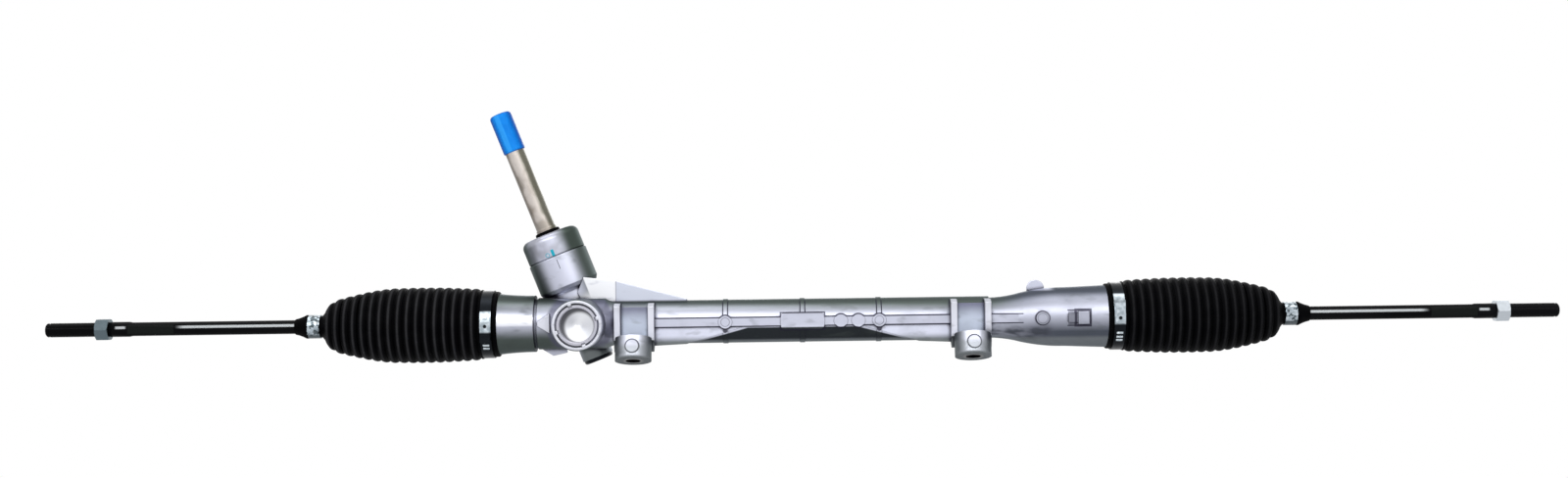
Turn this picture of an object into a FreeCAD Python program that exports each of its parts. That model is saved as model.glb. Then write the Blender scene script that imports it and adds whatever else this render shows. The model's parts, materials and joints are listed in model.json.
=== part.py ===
import FreeCAD, Part

import math
import os

import Sketcher
from FreeCAD import Vector

# A manual steering rack for a small car, complete with tie rods.
# Frame: +X along the rack to the right, +Z up the mounting bolts, +Y away from the adjuster plug.
# Origin: midway between the two mounting holes, on the underside of their bosses.

DIMENSIONS = {
    # where the rack and the pinion lie
    "rack_axis_back": 28,
    "rack_axis_height": 39.2,
    "gear_tilt": 16,
    "shaft_lean": 21.4,
    "pinion_left": 184,
    "mount_half_spacing": 139,
    # clearances
    "seat_gap": 0.02,
    "running_gap": 0.05,
    "free_gap": 0.3,
    # rack bar and its teeth
    "bar_radius": 12,
    "bar_end_bore_radius": 7,
    "bar_end_bore_depth": 20,
    "travel": 68,
    "stop_gap": 0.5,
    "tooth_module": 2,
    "pressure_angle": 20,
    "profile_shift": 1.2,
    "rack_addendum": 2,
    "rack_dedendum": 1.88,
    "rack_tip_height": 8.4,
    "pinion_addendum": 2.68,
    "tooth_root_clearance": 0.5,
    "backlash": 0.16,
    "pinion_face_width": 30,
    # housing tube
    "end_face": 268,
    "boot_seat_radius": 24.3,
    "boot_seat_length": 14,
    "barrel_radius": 25.6,
    "barrel_inner_end": 222.6,
    "barrel_inner_radius": 23.6,
    "groove_width": 2.6,
    "groove_radius": 20.8,
    "neck_radius": 21.6,
    "neck_end": 164,
    "tube_radius": 18,
    "tail_radius": 16.8,
    "flare_length": 64,
    "flare_radius": 24.6,
    "rack_bore_radius": 13.5,
    "stop_depth": 46,
    "stop_bore_radius": 19.5,
    "bush_length": 24,
    "bush_wall": 3.4,
    # pinion housing, measured along the shaft from the rack axis
    "barrel_foot": 31,
    "foot_radius": 13.2,
    "gear_case_radius": 17.5,
    "skirt_radius": 21,
    "throat_radius": 23.6,
    "tower_foot": 31,
    "tower_radius": 25.25,
    "seam": 60.2,
    "gear_bore_radius": 11.3,
    "needle_bore_radius": 9,
    "bearing_bore_radius": 21,
    "bearing_seat": 40,
    "bearing_width": 12,
    "bearing_ring": 3.2,
    "ball_radius": 3.1,
    "ball_count": 9,
    "lock_ring_width": 4,
    "cover_top": 80.2,
    "cover_radius": 24.6,
    "cover_round": 5.5,
    "cover_mouth_radius": 10.6,
    "seal_radius": 15,
    "seal_length": 9.5,
    "dust_lip_height": 3.2,
    "foot_cap_thickness": 3.3,
    # pinion shaft
    "journal_radius": 6,
    "neck_shaft_radius": 8.4,
    "bearing_bore": 10,
    "seal_land_radius": 8.8,
    "input_radius": 8.2,
    "shaft_top": 187.5,
    "serration_length": 26,
    "bolt_groove_radius": 6.9,
    "bolt_groove_width": 9,
    "cap_wall": 1.1,
    "cap_length": 34.3,
    # rack guide, measured from the rack axis towards the plug
    "yoke_boss_radius": 21,
    "yoke_face": 46,
    "yoke_radius": 14.2,
    "yoke_back": 36.3,
    "liner_thickness": 0.8,
    "ring_cord_radius": 1.1,
    "spring_wire_radius": 1.3,
    "spring_radius": 7.4,
    "spring_turns": 3.5,
    "spring_pocket": 15,
    "plug_radius": 17.1,
    "plug_relief_width": 1.1,
    "plug_relief_depth": 1.2,
    "plug_length": 9.5,
    "plug_recess_radius": 14.2,
    "plug_recess_depth": 4.6,
    "plug_cone_depth": 2.6,
    # mounting bosses
    "boss_radius": 15,
    "boss_height": 18.8,
    "sleeve_radius": 8.5,
    "bolt_hole_radius": 6.25,
    "rib_offset": 14,
    "rib_width": 5,
    "rib_front": 26,
    "pad_front": 18.6,
    # cast ribs, pads and webs on the tube
    "band_height": 7.4,
    "band_front": 19.6,
    "fin_height": 0.6,
    "fin_width": 4,
    "web_thickness": 5,
    "web_front": 6,
    "web_top": 38.5,
    "web_corner": 158.6,
    "web_corner_drop": 3,
    "web_end": 96,
    "pad_half_height": 7.1,
    "pad_half_length": 18.3,
    "pad_corner": 3,
    "pad_rise": 0.6,
    "button_radius": 5.7,
    "button_rise": 0.5,
    "drop_radius": 1.7,
    "tail_pad_start": 219,
    "tail_pad_end": 237,
    "lug_thickness": 6,
    "gusset_reach": 76,
    # boots
    "boot_wall": 1.5,
    "boot_outer_end": 402,
    "boot_neck_length": 10.7,
    "boot_inner_end": 252.4,
    "boot_crest_radius": 30.6,
    "boot_fold_depth": 4.6,
    "boot_folds": 16,
    "large_clamp_width": 9,
    "large_clamp_radius": 28.3,
    "small_clamp_radius": 9.8,
    "clamp_thickness": 0.9,
    "seam_chamfer": 0.7,
    # tie rods and their ball joints, measured outwards from the centre
    "lock_washer_thickness": 2,
    "socket_radius": 17.2,
    "socket_flat": 15.6,
    "ball_centre": 24,
    "tie_ball_radius": 11.5,
    "ball_seat_thickness": 1.5,
    "rod_neck_radius": 5,
    "rod_radius": 5.75,
    "rod_thread_radius": 6,
    "rod_thread_length": 53,
    "rod_tip": 632,
    "nut_flats": 17,
    "nut_width": 10.8,
    "flat_to_thread": 16,
    "flat_length": 38,
    "flat_depth": 0.75,
    "collar_length": 15,
    "collar_height": 0.6,
}


class Size:
    """A driving dimension, or a sum of them: its number and its spreadsheet expression."""

    def __init__(self, number, text=None):
        self.number = float(number)
        self.text = text or f"{self.number:.10g}"

    def __float__(self):
        return self.number

    def __add__(self, other):
        other = sized(other)
        return Size(self.number + other.number, f"({self.text} + {other.text})")

    def __sub__(self, other):
        other = sized(other)
        return Size(self.number - other.number, f"({self.text} - {other.text})")

    def __mul__(self, other):
        other = sized(other)
        return Size(self.number * other.number, f"({self.text} * {other.text})")

    def __truediv__(self, other):
        other = sized(other)
        return Size(self.number / other.number, f"({self.text} / {other.text})")

    def __radd__(self, other):
        return sized(other) + self

    def __rsub__(self, other):
        return sized(other) - self

    def __rmul__(self, other):
        return sized(other) * self

    def __neg__(self):
        return Size(-self.number, f"(0 - {self.text})")


def sized(value):
    return value if isinstance(value, Size) else Size(value)


doc = FreeCAD.newDocument("steering_rack")
sheet = doc.addObject("Spreadsheet::Sheet", "Sizes")
for row, (alias, number) in enumerate(DIMENSIONS.items(), 1):
    sheet.set(f"A{row}", alias)
    sheet.set(f"B{row}", str(number))
    sheet.setAlias(f"B{row}", alias)
doc.recompute()


class Drawing:
    """Gives each alias of the sheet as a Size."""

    def __getattr__(self, alias):
        return Size(sheet.get(alias), f"Sizes.{alias}")


d = Drawing()
parts = []


# Frames: each is a placement whose local +X runs along the piece's own axis

def shift(x=0, y=0, z=0):
    corner = f"vector({sized(x).text}; {sized(y).text}; {sized(z).text})"
    return f"placement({corner}; rotation(vector(0; 0; 1); 0))"


def turn(axis, degrees):
    return f"placement(vector(0; 0; 0); rotation(vector({axis}); {sized(degrees).text}))"


ROW = shift()
GEAR = f"{shift(0, d.rack_axis_back, d.rack_axis_height)} * {turn('1; 0; 0', d.gear_tilt)}"
IN_ROW = f"minvert({GEAR})"

# The teeth stand normal to the leaning shaft, so the pinion's pitch radius grows with the lean.
PINION_TEETH = 7
lean_cosine = Size(math.cos(math.radians(d.shaft_lean.number)), "cos(Sizes.shaft_lean)")
pitch_size = PINION_TEETH * d.tooth_module / (2 * lean_cosine)
pitch_radius = pitch_size.number
rack_reference = d.rack_tip_height - d.rack_addendum
pinion_back = rack_reference + d.profile_shift + pitch_size

ON_PINION = f"{shift(-d.pinion_left, pinion_back)} * {turn('0; 1; 0', -90 - d.shaft_lean)}"
ON_YOKE = f"{shift(-d.pinion_left)} * {turn('0; 0; 1', -90)}"
PINION = f"{GEAR} * {ON_PINION}"
YOKE = f"{GEAR} * {ON_YOKE}"
RIGHT = GEAR
LEFT = f"{GEAR} * {turn('0; 1; 0', 180)}"
SIDES = {"left": LEFT, "right": RIGHT}


def new(kind, label, frame=None):
    made = doc.addObject(kind, label)
    made.Label = label
    if frame:
        made.setExpression("Placement", frame)
    return made


def keep(made):
    parts.append(made)
    return made


def bind(made, **sizes):
    for name, size in sizes.items():
        made.setExpression(name, sized(size).text)
    return made


def arc_between(a, b, sagitta):
    """The arc from a to b that bulges by sagitta to the left of that way, kept anticlockwise."""
    chord = b - a
    radius = (chord.Length ** 2 / 4 + sagitta ** 2) / (2 * abs(sagitta))
    across = Vector(-chord.y, chord.x) / chord.Length
    centre = (a + b) / 2 + across * (sagitta - math.copysign(radius, sagitta))
    start, end = (b, a) if sagitta > 0 else (a, b)
    first = math.atan2(start.y - centre.y, start.x - centre.x)
    last = math.atan2(end.y - centre.y, end.x - centre.x)
    if last < first:
        last += 2 * math.pi
    return Part.ArcOfCircle(Part.Circle(centre, Vector(0, 0, 1), radius), first, last)


def add_sketch(body, name, corners, plane="XY_Plane"):
    """A closed outline on an origin plane. A corner is (x, y), or (x, y, sagitta) when an arc leaves it."""
    sketch = body.newObject("Sketcher::SketchObject", name)
    support = next(o for o in body.Origin.OriginFeatures if o.Role == plane)
    sketch.AttachmentSupport = (support, [""])
    sketch.MapMode = "FlatFace"
    corners = [[sized(c) for c in corner] for corner in corners]
    count = len(corners)
    starts = []
    for i, corner in enumerate(corners):
        following = corners[(i + 1) % count]
        a = Vector(corner[0].number, corner[1].number)
        b = Vector(following[0].number, following[1].number)
        if len(corner) == 3:
            sketch.addGeometry(arc_between(a, b, corner[2].number))
            starts.append((2, 1) if corner[2].number > 0 else (1, 2))
        else:
            sketch.addGeometry(Part.LineSegment(a, b))
            starts.append((1, 2))
    for i, (begin, end) in enumerate(starts):
        following = (i + 1) % count
        sketch.addConstraint(Sketcher.Constraint("Coincident", i, end, following, starts[following][0]))
    for i, corner in enumerate(corners):
        begin = starts[i][0]
        for kind, size in (("DistanceX", corner[0]), ("DistanceY", corner[1])):
            made = sketch.addConstraint(Sketcher.Constraint(kind, -1, 1, i, begin, size.number))
            sketch.setExpression(f"Constraints[{made}]", size.text)
        if len(corner) == 3:
            following = corners[(i + 1) % count]
            run, rise = following[0] - corner[0], following[1] - corner[1]
            chord_squared = run * run + rise * rise
            sagitta = corner[2] if corner[2].number > 0 else -corner[2]
            radius = (chord_squared / 4 + sagitta * sagitta) / (2 * sagitta)
            made = sketch.addConstraint(Sketcher.Constraint("Radius", i, radius.number))
            sketch.setExpression(f"Constraints[{made}]", radius.text)
    return sketch


def turned(label, frame, corners):
    """A body turned about its frame's X axis from a closed half outline of (x, radius) corners."""
    body = new("PartDesign::Body", label, frame)
    sketch = add_sketch(body, f"{label}_outline", corners)
    spun = body.newObject("PartDesign::Revolution", f"{label}_turned")
    spun.Profile = sketch
    spun.ReferenceAxis = (sketch, ["H_Axis"])
    spun.Angle = 360
    return body


def ring(label, frame, start, end, inner, outer):
    return turned(label, frame, [(start, inner), (start, outer), (end, outer), (end, inner)])


def padded(label, frame, corners, length, plane="XY_Plane", middle=False, start=0):
    """A body padded from a closed outline. On XZ_Plane the pad grows towards -Y."""
    body = new("PartDesign::Body", label, frame)
    sketch = add_sketch(body, f"{label}_outline", corners, plane)
    pad = body.newObject("PartDesign::Pad", f"{label}_pad")
    pad.Profile = sketch
    pad.Midplane = middle
    bind(pad, Length=length)
    if sized(start).number:
        bind(sketch, **{"AttachmentOffset.Base.z": start})
    return body


def rod(label, frame, start, end, radius):
    """A plain cylinder along its frame's X axis."""
    made = new("Part::Cylinder", label, f"{frame} * {shift(start)} * {turn('0; 1; 0', 90)}")
    return bind(made, Radius=radius, Height=end - start)


def block(label, frame, x, y, z):
    """A plain box between two values on each axis of its frame."""
    made = new("Part::Box", label, f"{frame} * {shift(x[0], y[0], z[0])}")
    return bind(made, Length=sized(x[1]) - x[0], Width=sized(y[1]) - y[0], Height=sized(z[1]) - z[0])


def fused(label, pieces, frame=None):
    made = new("Part::MultiFuse", label, frame)
    made.Shapes = pieces
    made.Refine = True
    return made


def cut(label, base, tools, frame=None):
    tool = tools[0] if len(tools) == 1 else fused(f"{label}_cutters", tools)
    made = new("Part::Cut", label, frame)
    made.Base = base
    made.Tool = tool
    made.Refine = True
    return made


def shaped(label, frame, shape):
    made = new("Part::Feature", label)
    made.Shape = shape
    made.setExpression("Placement", frame)
    return made


# Housing, modelled about the rack axis and then placed by the gear frame

flare_start = d.mount_half_spacing + d.rib_offset + d.rib_width / 2
flare_end = flare_start + d.flare_length
seat_start = d.end_face - d.boot_seat_length

def housing_tube():
    middle = flare_start + d.flare_length * 0.42
    return turned("tube", None, [
        (-d.end_face, 0),
        (-d.end_face, d.boot_seat_radius),
        (-seat_start, d.boot_seat_radius),
        (-seat_start, d.barrel_radius, -0.5),
        (-d.barrel_inner_end, d.barrel_inner_radius),
        (-d.barrel_inner_end, d.groove_radius),
        (-d.barrel_inner_end + d.groove_width, d.groove_radius),
        (-d.barrel_inner_end + d.groove_width, d.neck_radius),
        (-d.neck_end, d.neck_radius, -0.6),
        (-d.mount_half_spacing - d.rib_offset, d.tube_radius),
        (flare_start, d.tube_radius),
        (flare_start, d.tail_radius, -0.9),
        (middle, d.tail_radius + (d.flare_radius - d.tail_radius) * 0.5, 1.1),
        (flare_end, d.flare_radius),
        (seat_start, d.barrel_radius + 0.4),
        (seat_start, d.boot_seat_radius),
        (d.end_face, d.boot_seat_radius),
        (d.end_face, 0),
    ])


def pinion_barrel():
    round_over = 3
    return turned("pinion_barrel", ON_PINION, [
        (-d.barrel_foot, 0),
        (-d.barrel_foot, d.foot_radius),
        (-d.barrel_foot / 2, d.foot_radius),
        (-d.barrel_foot / 2 + 4, d.gear_case_radius),
        (d.tower_foot * 0.3, d.gear_case_radius),
        (d.tower_foot * 0.5, d.skirt_radius),
        (d.tower_foot - round_over, d.skirt_radius, -0.5),
        (d.tower_foot, d.throat_radius),
        (d.tower_foot + round_over, d.tower_radius),
        (d.seam - d.seam_chamfer, d.tower_radius),
        (d.seam, d.tower_radius - d.seam_chamfer),
        (d.seam, 0),
    ])


def yoke_boss():
    edge = 1
    return turned("yoke_boss", ON_YOKE, [
        (0, 0),
        (0, d.yoke_boss_radius),
        (d.yoke_face - edge, d.yoke_boss_radius),
        (d.yoke_face, d.yoke_boss_radius - edge),
        (d.yoke_face, 0),
    ])


def front_disc(label, x, face, radius, up=0, frame=ROW):
    """A round pad that looks out of the front."""
    return rod(label, f"{frame} * {shift(x, 0, up)} * {turn('0; 0; 1', -90)}", sized(0), face, radius)


def middle_pad():
    """The long pad in the middle of the front band, its corners cut off."""
    end = d.pad_half_length
    low = d.pad_half_height
    inner_end = end - d.pad_corner
    inner_low = low - d.pad_corner
    return padded("middle_pad", None, [
        (-end, -inner_low),
        (-inner_end, -low),
        (inner_end, -low),
        (end, -inner_low),
        (end, inner_low),
        (inner_end, low),
        (-inner_end, low),
        (-end, inner_low),
    ], d.band_front + d.pad_rise, "XZ_Plane")


def mount_pieces(side, centre):
    """A vertical boss under the tube, the block that joins it, and a rib at each side of the bolt head."""
    boss = rod(f"{side}_boss", f"{IN_ROW} * {shift(centre)} * {turn('0; 1; 0', -90)}", sized(0), d.boss_height,
               d.boss_radius)
    inner = d.rib_offset - d.rib_width / 2
    outer = d.rib_offset + d.rib_width / 2
    link = padded(f"{side}_link", f"{IN_ROW} * {shift(centre)} * {turn('0; 0; 1', 90)}", [
        (0, 2),
        (0, d.boss_height),
        (d.rack_axis_back - d.tube_radius + 1.5, d.boss_height),
        (d.rack_axis_back, d.rack_axis_height),
        (d.rack_axis_back, d.rack_axis_height - d.tube_radius + 1),
    ], 2 * inner + 3, "XZ_Plane", True)
    pieces = [boss, link]
    pieces.append(block(f"{side}_pad", ROW, (centre - inner, centre + inner),
                        (-d.pad_front, -d.pad_front + 8), (-13, d.tube_radius - 5)))
    for name, offset in (("a", -d.rib_offset), ("b", d.rib_offset)):
        low = centre + offset - d.rib_width / 2
        pieces.append(padded(f"{side}_rib_{name}", shift(low), [
            (0, d.tube_radius - 1.5),
            (-d.rib_front + 6, d.tube_radius - 1.5),
            (-d.rib_front, d.tube_radius - 4),
            (-d.rib_front, -d.rack_axis_height + d.boss_height + 3),
            (-d.rib_front + 2, -d.rack_axis_height + d.boss_height - 3),
            (-8, -d.tube_radius + 3),
            (0, -d.tube_radius + 3),
        ], d.rib_width, "YZ_Plane"))
    return pieces


def cast_details():
    """The band, pads, buttons, fins and webs that stand on the tube."""
    pieces = []
    half = d.band_height / 2
    front = (-d.band_front, 0)
    rib = d.mount_half_spacing - d.rib_offset
    pieces.append(block("band", ROW, (-rib, rib), front, (-half, half)))
    pieces.append(block("tail_band", ROW, (d.mount_half_spacing + d.rib_offset, flare_start + 25), front,
                        (-half, half)))
    pieces.append(middle_pad())
    for i, x in enumerate((-64, 31.7, 46.2, 63.5)):
        pieces.append(front_disc(f"button_{i}", x, d.band_front + d.button_rise, d.button_radius))
    for i, x in enumerate((-64, 63.5)):
        pieces.append(front_disc(f"drop_{i}", x, d.band_front - 1, d.drop_radius, -half - 2 * d.drop_radius))
    for i, x in enumerate((-64, 0, 63.5)):
        pieces.append(rod(f"fin_{i}", ROW, x - d.fin_width / 2, x + d.fin_width / 2,
                          d.tube_radius + d.fin_height))
    for side, sign in (("left", 1), ("right", -1)):
        foot = -sign * d.mount_half_spacing + sign * d.rib_offset
        tip = foot + sign * d.gusset_reach
        middle = foot + sign * (d.gusset_reach * 0.38)
        pieces.append(padded(f"{side}_gusset", None, [
            (foot, 2),
            (foot, -d.tube_radius - 1),
            (middle, -d.tube_radius + 0.3),
            (tip, -half - 0.4),
            (tip, 2),
        ], d.pad_front - 2, "XZ_Plane", start=1))
    pieces.append(padded("web", shift(0, d.web_thickness - d.web_front), [
        (-d.pinion_left + 6, 8),
        (-d.pinion_left - 3, 26),
        (-d.pinion_left + 2, d.web_top),
        (-d.web_corner, d.web_top - d.web_corner_drop),
        (-d.web_end, d.tube_radius + 1),
        (-d.web_end, 8),
    ], d.web_thickness, "XZ_Plane"))
    pieces.append(front_disc("tail_button", 198, d.flare_radius + d.pad_rise, d.button_radius))
    deep = -d.barrel_radius / 2
    tail = -d.barrel_radius - d.pad_rise
    pieces.append(block("tail_pad", ROW, (d.tail_pad_start, d.tail_pad_end), (tail, deep), (-half, half)))
    pieces.append(block("tail_block", ROW, (d.tail_pad_start + 8, d.tail_pad_end - 1),
                        (tail - 1.2, deep), (-5.2, 5.2)))
    pieces.append(padded("tail_lug", shift(195.7, 8), [
        (-7, 15),
        (-7, 24.5, 6.4),
        (7, 24.5),
        (7, 15),
    ], d.lug_thickness, "XZ_Plane"))
    pieces.append(padded("foot_lug", shift(-207, 12), [
        (-11, -10),
        (9, -10),
        (9, -25),
        (-2, -27.4),
        (-11, -22),
    ], d.lug_thickness + 1, "XZ_Plane"))
    pieces.append(padded("neck_lug", None, [
        (-219, -1),
        (-219, 2.5),
        (-209, 9),
        (-209, -7),
    ], d.neck_radius + 1.4, "XZ_Plane"))
    for side, centre in (("left", -d.mount_half_spacing), ("right", d.mount_half_spacing)):
        pieces.append(front_disc(f"{side}_boss_button", centre, d.boss_radius + d.button_rise,
                                 d.button_radius - 0.4, d.boss_height / 2, IN_ROW))
    return pieces


def housing_bores():
    beyond = 1
    cutters = [rod("rack_bore", ROW, -d.end_face - beyond, d.end_face + beyond, d.rack_bore_radius)]
    shoulder = d.end_face - d.stop_depth
    cutters.append(rod("left_stop_bore", ROW, -d.end_face - beyond, -shoulder, d.stop_bore_radius))
    cutters.append(rod("right_stop_bore", ROW, shoulder, d.end_face + beyond, d.stop_bore_radius))
    cutters.append(rod("bush_bore", ROW, shoulder - d.bush_length, shoulder, d.bar_radius + d.bush_wall))
    cutters.append(rod("needle_bore", ON_PINION, -d.barrel_foot - beyond, sized(0), d.needle_bore_radius))
    half_face = d.pinion_face_width / 2
    cutters.append(rod("gear_bore", ON_PINION, -half_face - 0.5, d.bearing_seat, d.gear_bore_radius))
    cutters.append(rod("shoulder_bore", ON_PINION, d.bearing_seat - 4, d.bearing_seat + 1,
                       d.bearing_bore + d.bearing_ring + 0.6))
    cutters.append(rod("bearing_bore", ON_PINION, d.bearing_seat, d.seam + beyond, d.bearing_bore_radius))
    cutters.append(rod("yoke_bore", ON_YOKE, sized(0), d.yoke_face, d.yoke_radius + d.running_gap))
    cutters.append(rod("plug_bore", ON_YOKE, d.yoke_face - d.plug_length - 0.5, d.yoke_face + beyond,
                       d.plug_radius + 0.4))
    cutters.append(rod("plug_relief", ON_YOKE, d.yoke_face - d.plug_relief_depth, d.yoke_face + beyond,
                       d.plug_radius + d.plug_relief_width))
    for side, centre in (("left", -d.mount_half_spacing), ("right", d.mount_half_spacing)):
        cutters.append(rod(f"{side}_boss_bore", f"{IN_ROW} * {shift(centre)} * {turn('0; 1; 0', -90)}",
                           sized(-beyond), d.boss_height + 14, d.sleeve_radius))
    return cutters


def rack_housing():
    pieces = [housing_tube(), pinion_barrel(), yoke_boss()]
    pieces += mount_pieces("left", -d.mount_half_spacing)
    pieces += mount_pieces("right", d.mount_half_spacing)
    pieces += cast_details()
    return keep(cut("rack_housing", fused("casting", pieces), housing_bores(), GEAR))


rack_housing()


# Pieces carried by the pinion housing

def pinion_cover():
    spigot = d.bearing_seat + d.bearing_width + d.lock_ring_width + 0.5
    pocket = d.cover_top - 3
    return keep(turned("pinion_housing_cover", PINION, [
        (spigot, d.bearing_bore_radius - 3),
        (spigot, d.bearing_bore_radius - d.seat_gap),
        (d.seam + 0.1, d.bearing_bore_radius - d.seat_gap),
        (d.seam + 0.1, d.cover_radius - d.seam_chamfer),
        (d.seam + 0.1 + d.seam_chamfer, d.cover_radius),
        (d.cover_top - d.cover_round, d.cover_radius, 1.5),
        (d.cover_top, d.cover_radius - d.cover_round),
        (d.cover_top, d.cover_mouth_radius),
        (pocket, d.cover_mouth_radius),
        (pocket, d.seal_radius),
        (pocket - d.seal_length, d.seal_radius),
        (pocket - d.seal_length, d.bearing_bore_radius - 3),
    ]))


def pinion_oil_seal():
    pocket = d.cover_top - 3
    inner = d.seal_land_radius + d.running_gap
    lip = d.cover_mouth_radius - d.seat_gap
    return keep(turned("pinion_oil_seal", PINION, [
        (pocket - d.seal_length + 0.5, d.seal_radius - 4),
        (pocket - d.seal_length + 0.5, d.seal_radius - d.seat_gap),
        (pocket - d.seat_gap, d.seal_radius - d.seat_gap),
        (pocket - d.seat_gap, lip),
        (d.cover_top + d.dust_lip_height - 0.8, lip),
        (d.cover_top + d.dust_lip_height, lip - 0.8),
        (d.cover_top + d.dust_lip_height, inner),
        (pocket - d.seal_length + 4, inner),
        (pocket - d.seal_length + 3, d.seal_radius - 4),
    ]))


def upper_bearing():
    start = d.bearing_seat + d.seat_gap
    end = start + d.bearing_width
    inner = d.bearing_bore
    outer = d.bearing_bore_radius - d.seat_gap
    middle = (start + end) / 2
    track = (inner + outer) / 2
    groove = (d.ball_radius + 0.05)
    made = []
    for label, low, high in (("upper_bearing_outer_ring", outer - d.bearing_ring, outer),
                             ("upper_bearing_inner_ring", inner, inner + d.bearing_ring)):
        whole = ring(f"{label}_blank", None, start, end, low, high)
        path = new("Part::Torus", f"{label}_track", f"{shift(middle)} * {turn('0; 1; 0', 90)}")
        bind(path, Radius1=track, Radius2=groove)
        made.append(keep(cut(label, whole, [path], PINION)))
    balls = []
    for i in range(int(d.ball_count.number)):
        angle = 360 * i / d.ball_count.number
        ball = new("Part::Sphere", f"bearing_ball_{i}",
                   f"{PINION} * {turn('1; 0; 0', angle)} * {shift(middle, track)}")
        balls.append(bind(ball, Radius=d.ball_radius))
    group = new("Part::Compound", "upper_bearing_balls")
    group.Links = balls
    return made + [keep(group)]


def bearing_lock_ring():
    start = d.bearing_seat + d.seat_gap + d.bearing_width
    return keep(ring("bearing_lock_ring", PINION, start, start + d.lock_ring_width,
                     d.bearing_bore + d.bearing_ring + 1.5, d.bearing_bore_radius - d.seat_gap))


def needle_bearing():
    start = -d.pinion_face_width / 2 - 1
    return keep(ring("lower_needle_bearing", PINION, start - 9, start,
                     d.journal_radius + d.running_gap, d.needle_bore_radius - d.seat_gap))


def foot_cap():
    spigot = d.needle_bore_radius - d.seat_gap
    flange = d.foot_radius - 0.8
    edge = 2
    return keep(turned("pinion_lower_cap", PINION, [
        (-d.barrel_foot - d.foot_cap_thickness, 0),
        (-d.barrel_foot - d.foot_cap_thickness, flange - edge, 0.29 * edge),
        (-d.barrel_foot - d.foot_cap_thickness + edge, flange),
        (-d.barrel_foot, flange),
        (-d.barrel_foot, spigot),
        (-d.barrel_foot + 1.6, spigot),
        (-d.barrel_foot + 1.6, 0),
    ]))


pinion_cover()
pinion_oil_seal()
upper_bearing()
bearing_lock_ring()
needle_bearing()
foot_cap()


# Pinion: seven helical teeth cut on the shaft, right-handed, leaning as the shaft leans

def pinion_section(x, twist):
    """The closed tooth profile across the shaft at x, turned by twist."""
    lean = math.radians(d.shaft_lean.number)
    normal_angle = math.radians(d.pressure_angle.number)
    angle = math.atan(math.tan(normal_angle) / math.cos(lean))
    base = pitch_radius * math.cos(angle)
    tip = pitch_radius + d.pinion_addendum.number
    root = pitch_radius + d.profile_shift.number - d.rack_addendum.number - d.tooth_root_clearance.number
    across_module = d.tooth_module.number / math.cos(lean)
    thickness = (math.pi * across_module / 2 + 2 * d.profile_shift.number * math.tan(angle)
                 - d.backlash.number)
    half = thickness / (2 * pitch_radius) + math.tan(angle) - angle

    def point(radius, direction):
        return Vector(x, radius * math.cos(direction), radius * math.sin(direction))

    roll_end = math.sqrt((tip / base) ** 2 - 1)
    flank = [(root, half + 0.02), (base, half)]
    for step in range(1, 5):
        roll = roll_end * step / 4
        flank.append((base * math.sqrt(1 + roll * roll), half - (roll - math.atan(roll))))
    edges = []
    pitch = 2 * math.pi / PINION_TEETH
    for tooth in range(PINION_TEETH):
        middle = math.pi + tooth * pitch + twist
        rising = [point(r, middle - a) for r, a in flank]
        falling = [point(r, middle + a) for r, a in reversed(flank)]
        following = point(root, middle + pitch - flank[0][1])
        for points in (rising, falling):
            curve = Part.BSplineCurve()
            curve.interpolate(points)
            edges.append(curve.toShape())
            if points is rising:
                edges.append(Part.Arc(rising[-1], point(tip, middle), falling[0]).toShape())
        edges.append(Part.Arc(falling[-1], point(root, middle + pitch / 2), following).toShape())
    return Part.Wire(edges)


def pinion_shaft():
    half_face = d.pinion_face_width.number / 2
    sections = 7
    wires = []
    for i in range(sections):
        x = -half_face + 2 * half_face * i / (sections - 1)
        twist = x * math.tan(math.radians(d.shaft_lean.number)) / pitch_radius
        wires.append(pinion_section(x, twist))
    teeth = Part.makeLoft(wires, True, False)
    core = pinion_back - d.rack_tip_height - d.tooth_root_clearance - 0.1
    half = d.pinion_face_width / 2
    groove = d.shaft_top - d.serration_length + 4
    bearing_end = d.bearing_seat + d.seat_gap + d.bearing_width
    stem = turned("pinion_stem", None, [
        (-half - 10, 0),
        (-half - 10, d.journal_radius),
        (-half - 0.5, d.journal_radius),
        (-half - 0.5, core),
        (half - 1, core),
        (half + 2.5, d.neck_shaft_radius),
        (d.bearing_seat - 2.5, d.neck_shaft_radius),
        (d.bearing_seat - 2.5, d.bearing_bore + 2),
        (d.bearing_seat, d.bearing_bore + 2),
        (d.bearing_seat, d.bearing_bore - d.seat_gap),
        (bearing_end + 0.5, d.bearing_bore - d.seat_gap),
        (bearing_end + 0.5, d.seal_land_radius),
        (d.cover_top + 5, d.seal_land_radius),
        (d.cover_top + 6, d.input_radius),
        (groove - 1, d.input_radius),
        (groove, d.bolt_groove_radius),
        (groove + d.bolt_groove_width, d.bolt_groove_radius),
        (groove + d.bolt_groove_width + 1, d.input_radius),
        (d.shaft_top - 1, d.input_radius),
        (d.shaft_top, d.input_radius - 1),
        (d.shaft_top, 0),
    ])
    gear = doc.addObject("Part::Feature", "pinion_teeth")
    gear.Shape = teeth
    return keep(fused("pinion_shaft", [stem, gear], PINION))


def shaft_cap():
    inner = d.input_radius + 0.03
    outer = inner + d.cap_wall
    top = d.shaft_top + 2.3
    start = top - d.cap_length
    edge = 3
    return keep(turned("shaft_cap", PINION, [
        (start, inner),
        (start, outer - 0.8),
        (start + 0.8, outer),
        (top - edge, outer, 0.9),
        (top, outer - edge),
        (top, 0),
        (top - 2, 0),
        (top - 2, inner),
    ]))


pinion_shaft()
shaft_cap()


# Rack guide: yoke, liner, ring, spring and plug

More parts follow.
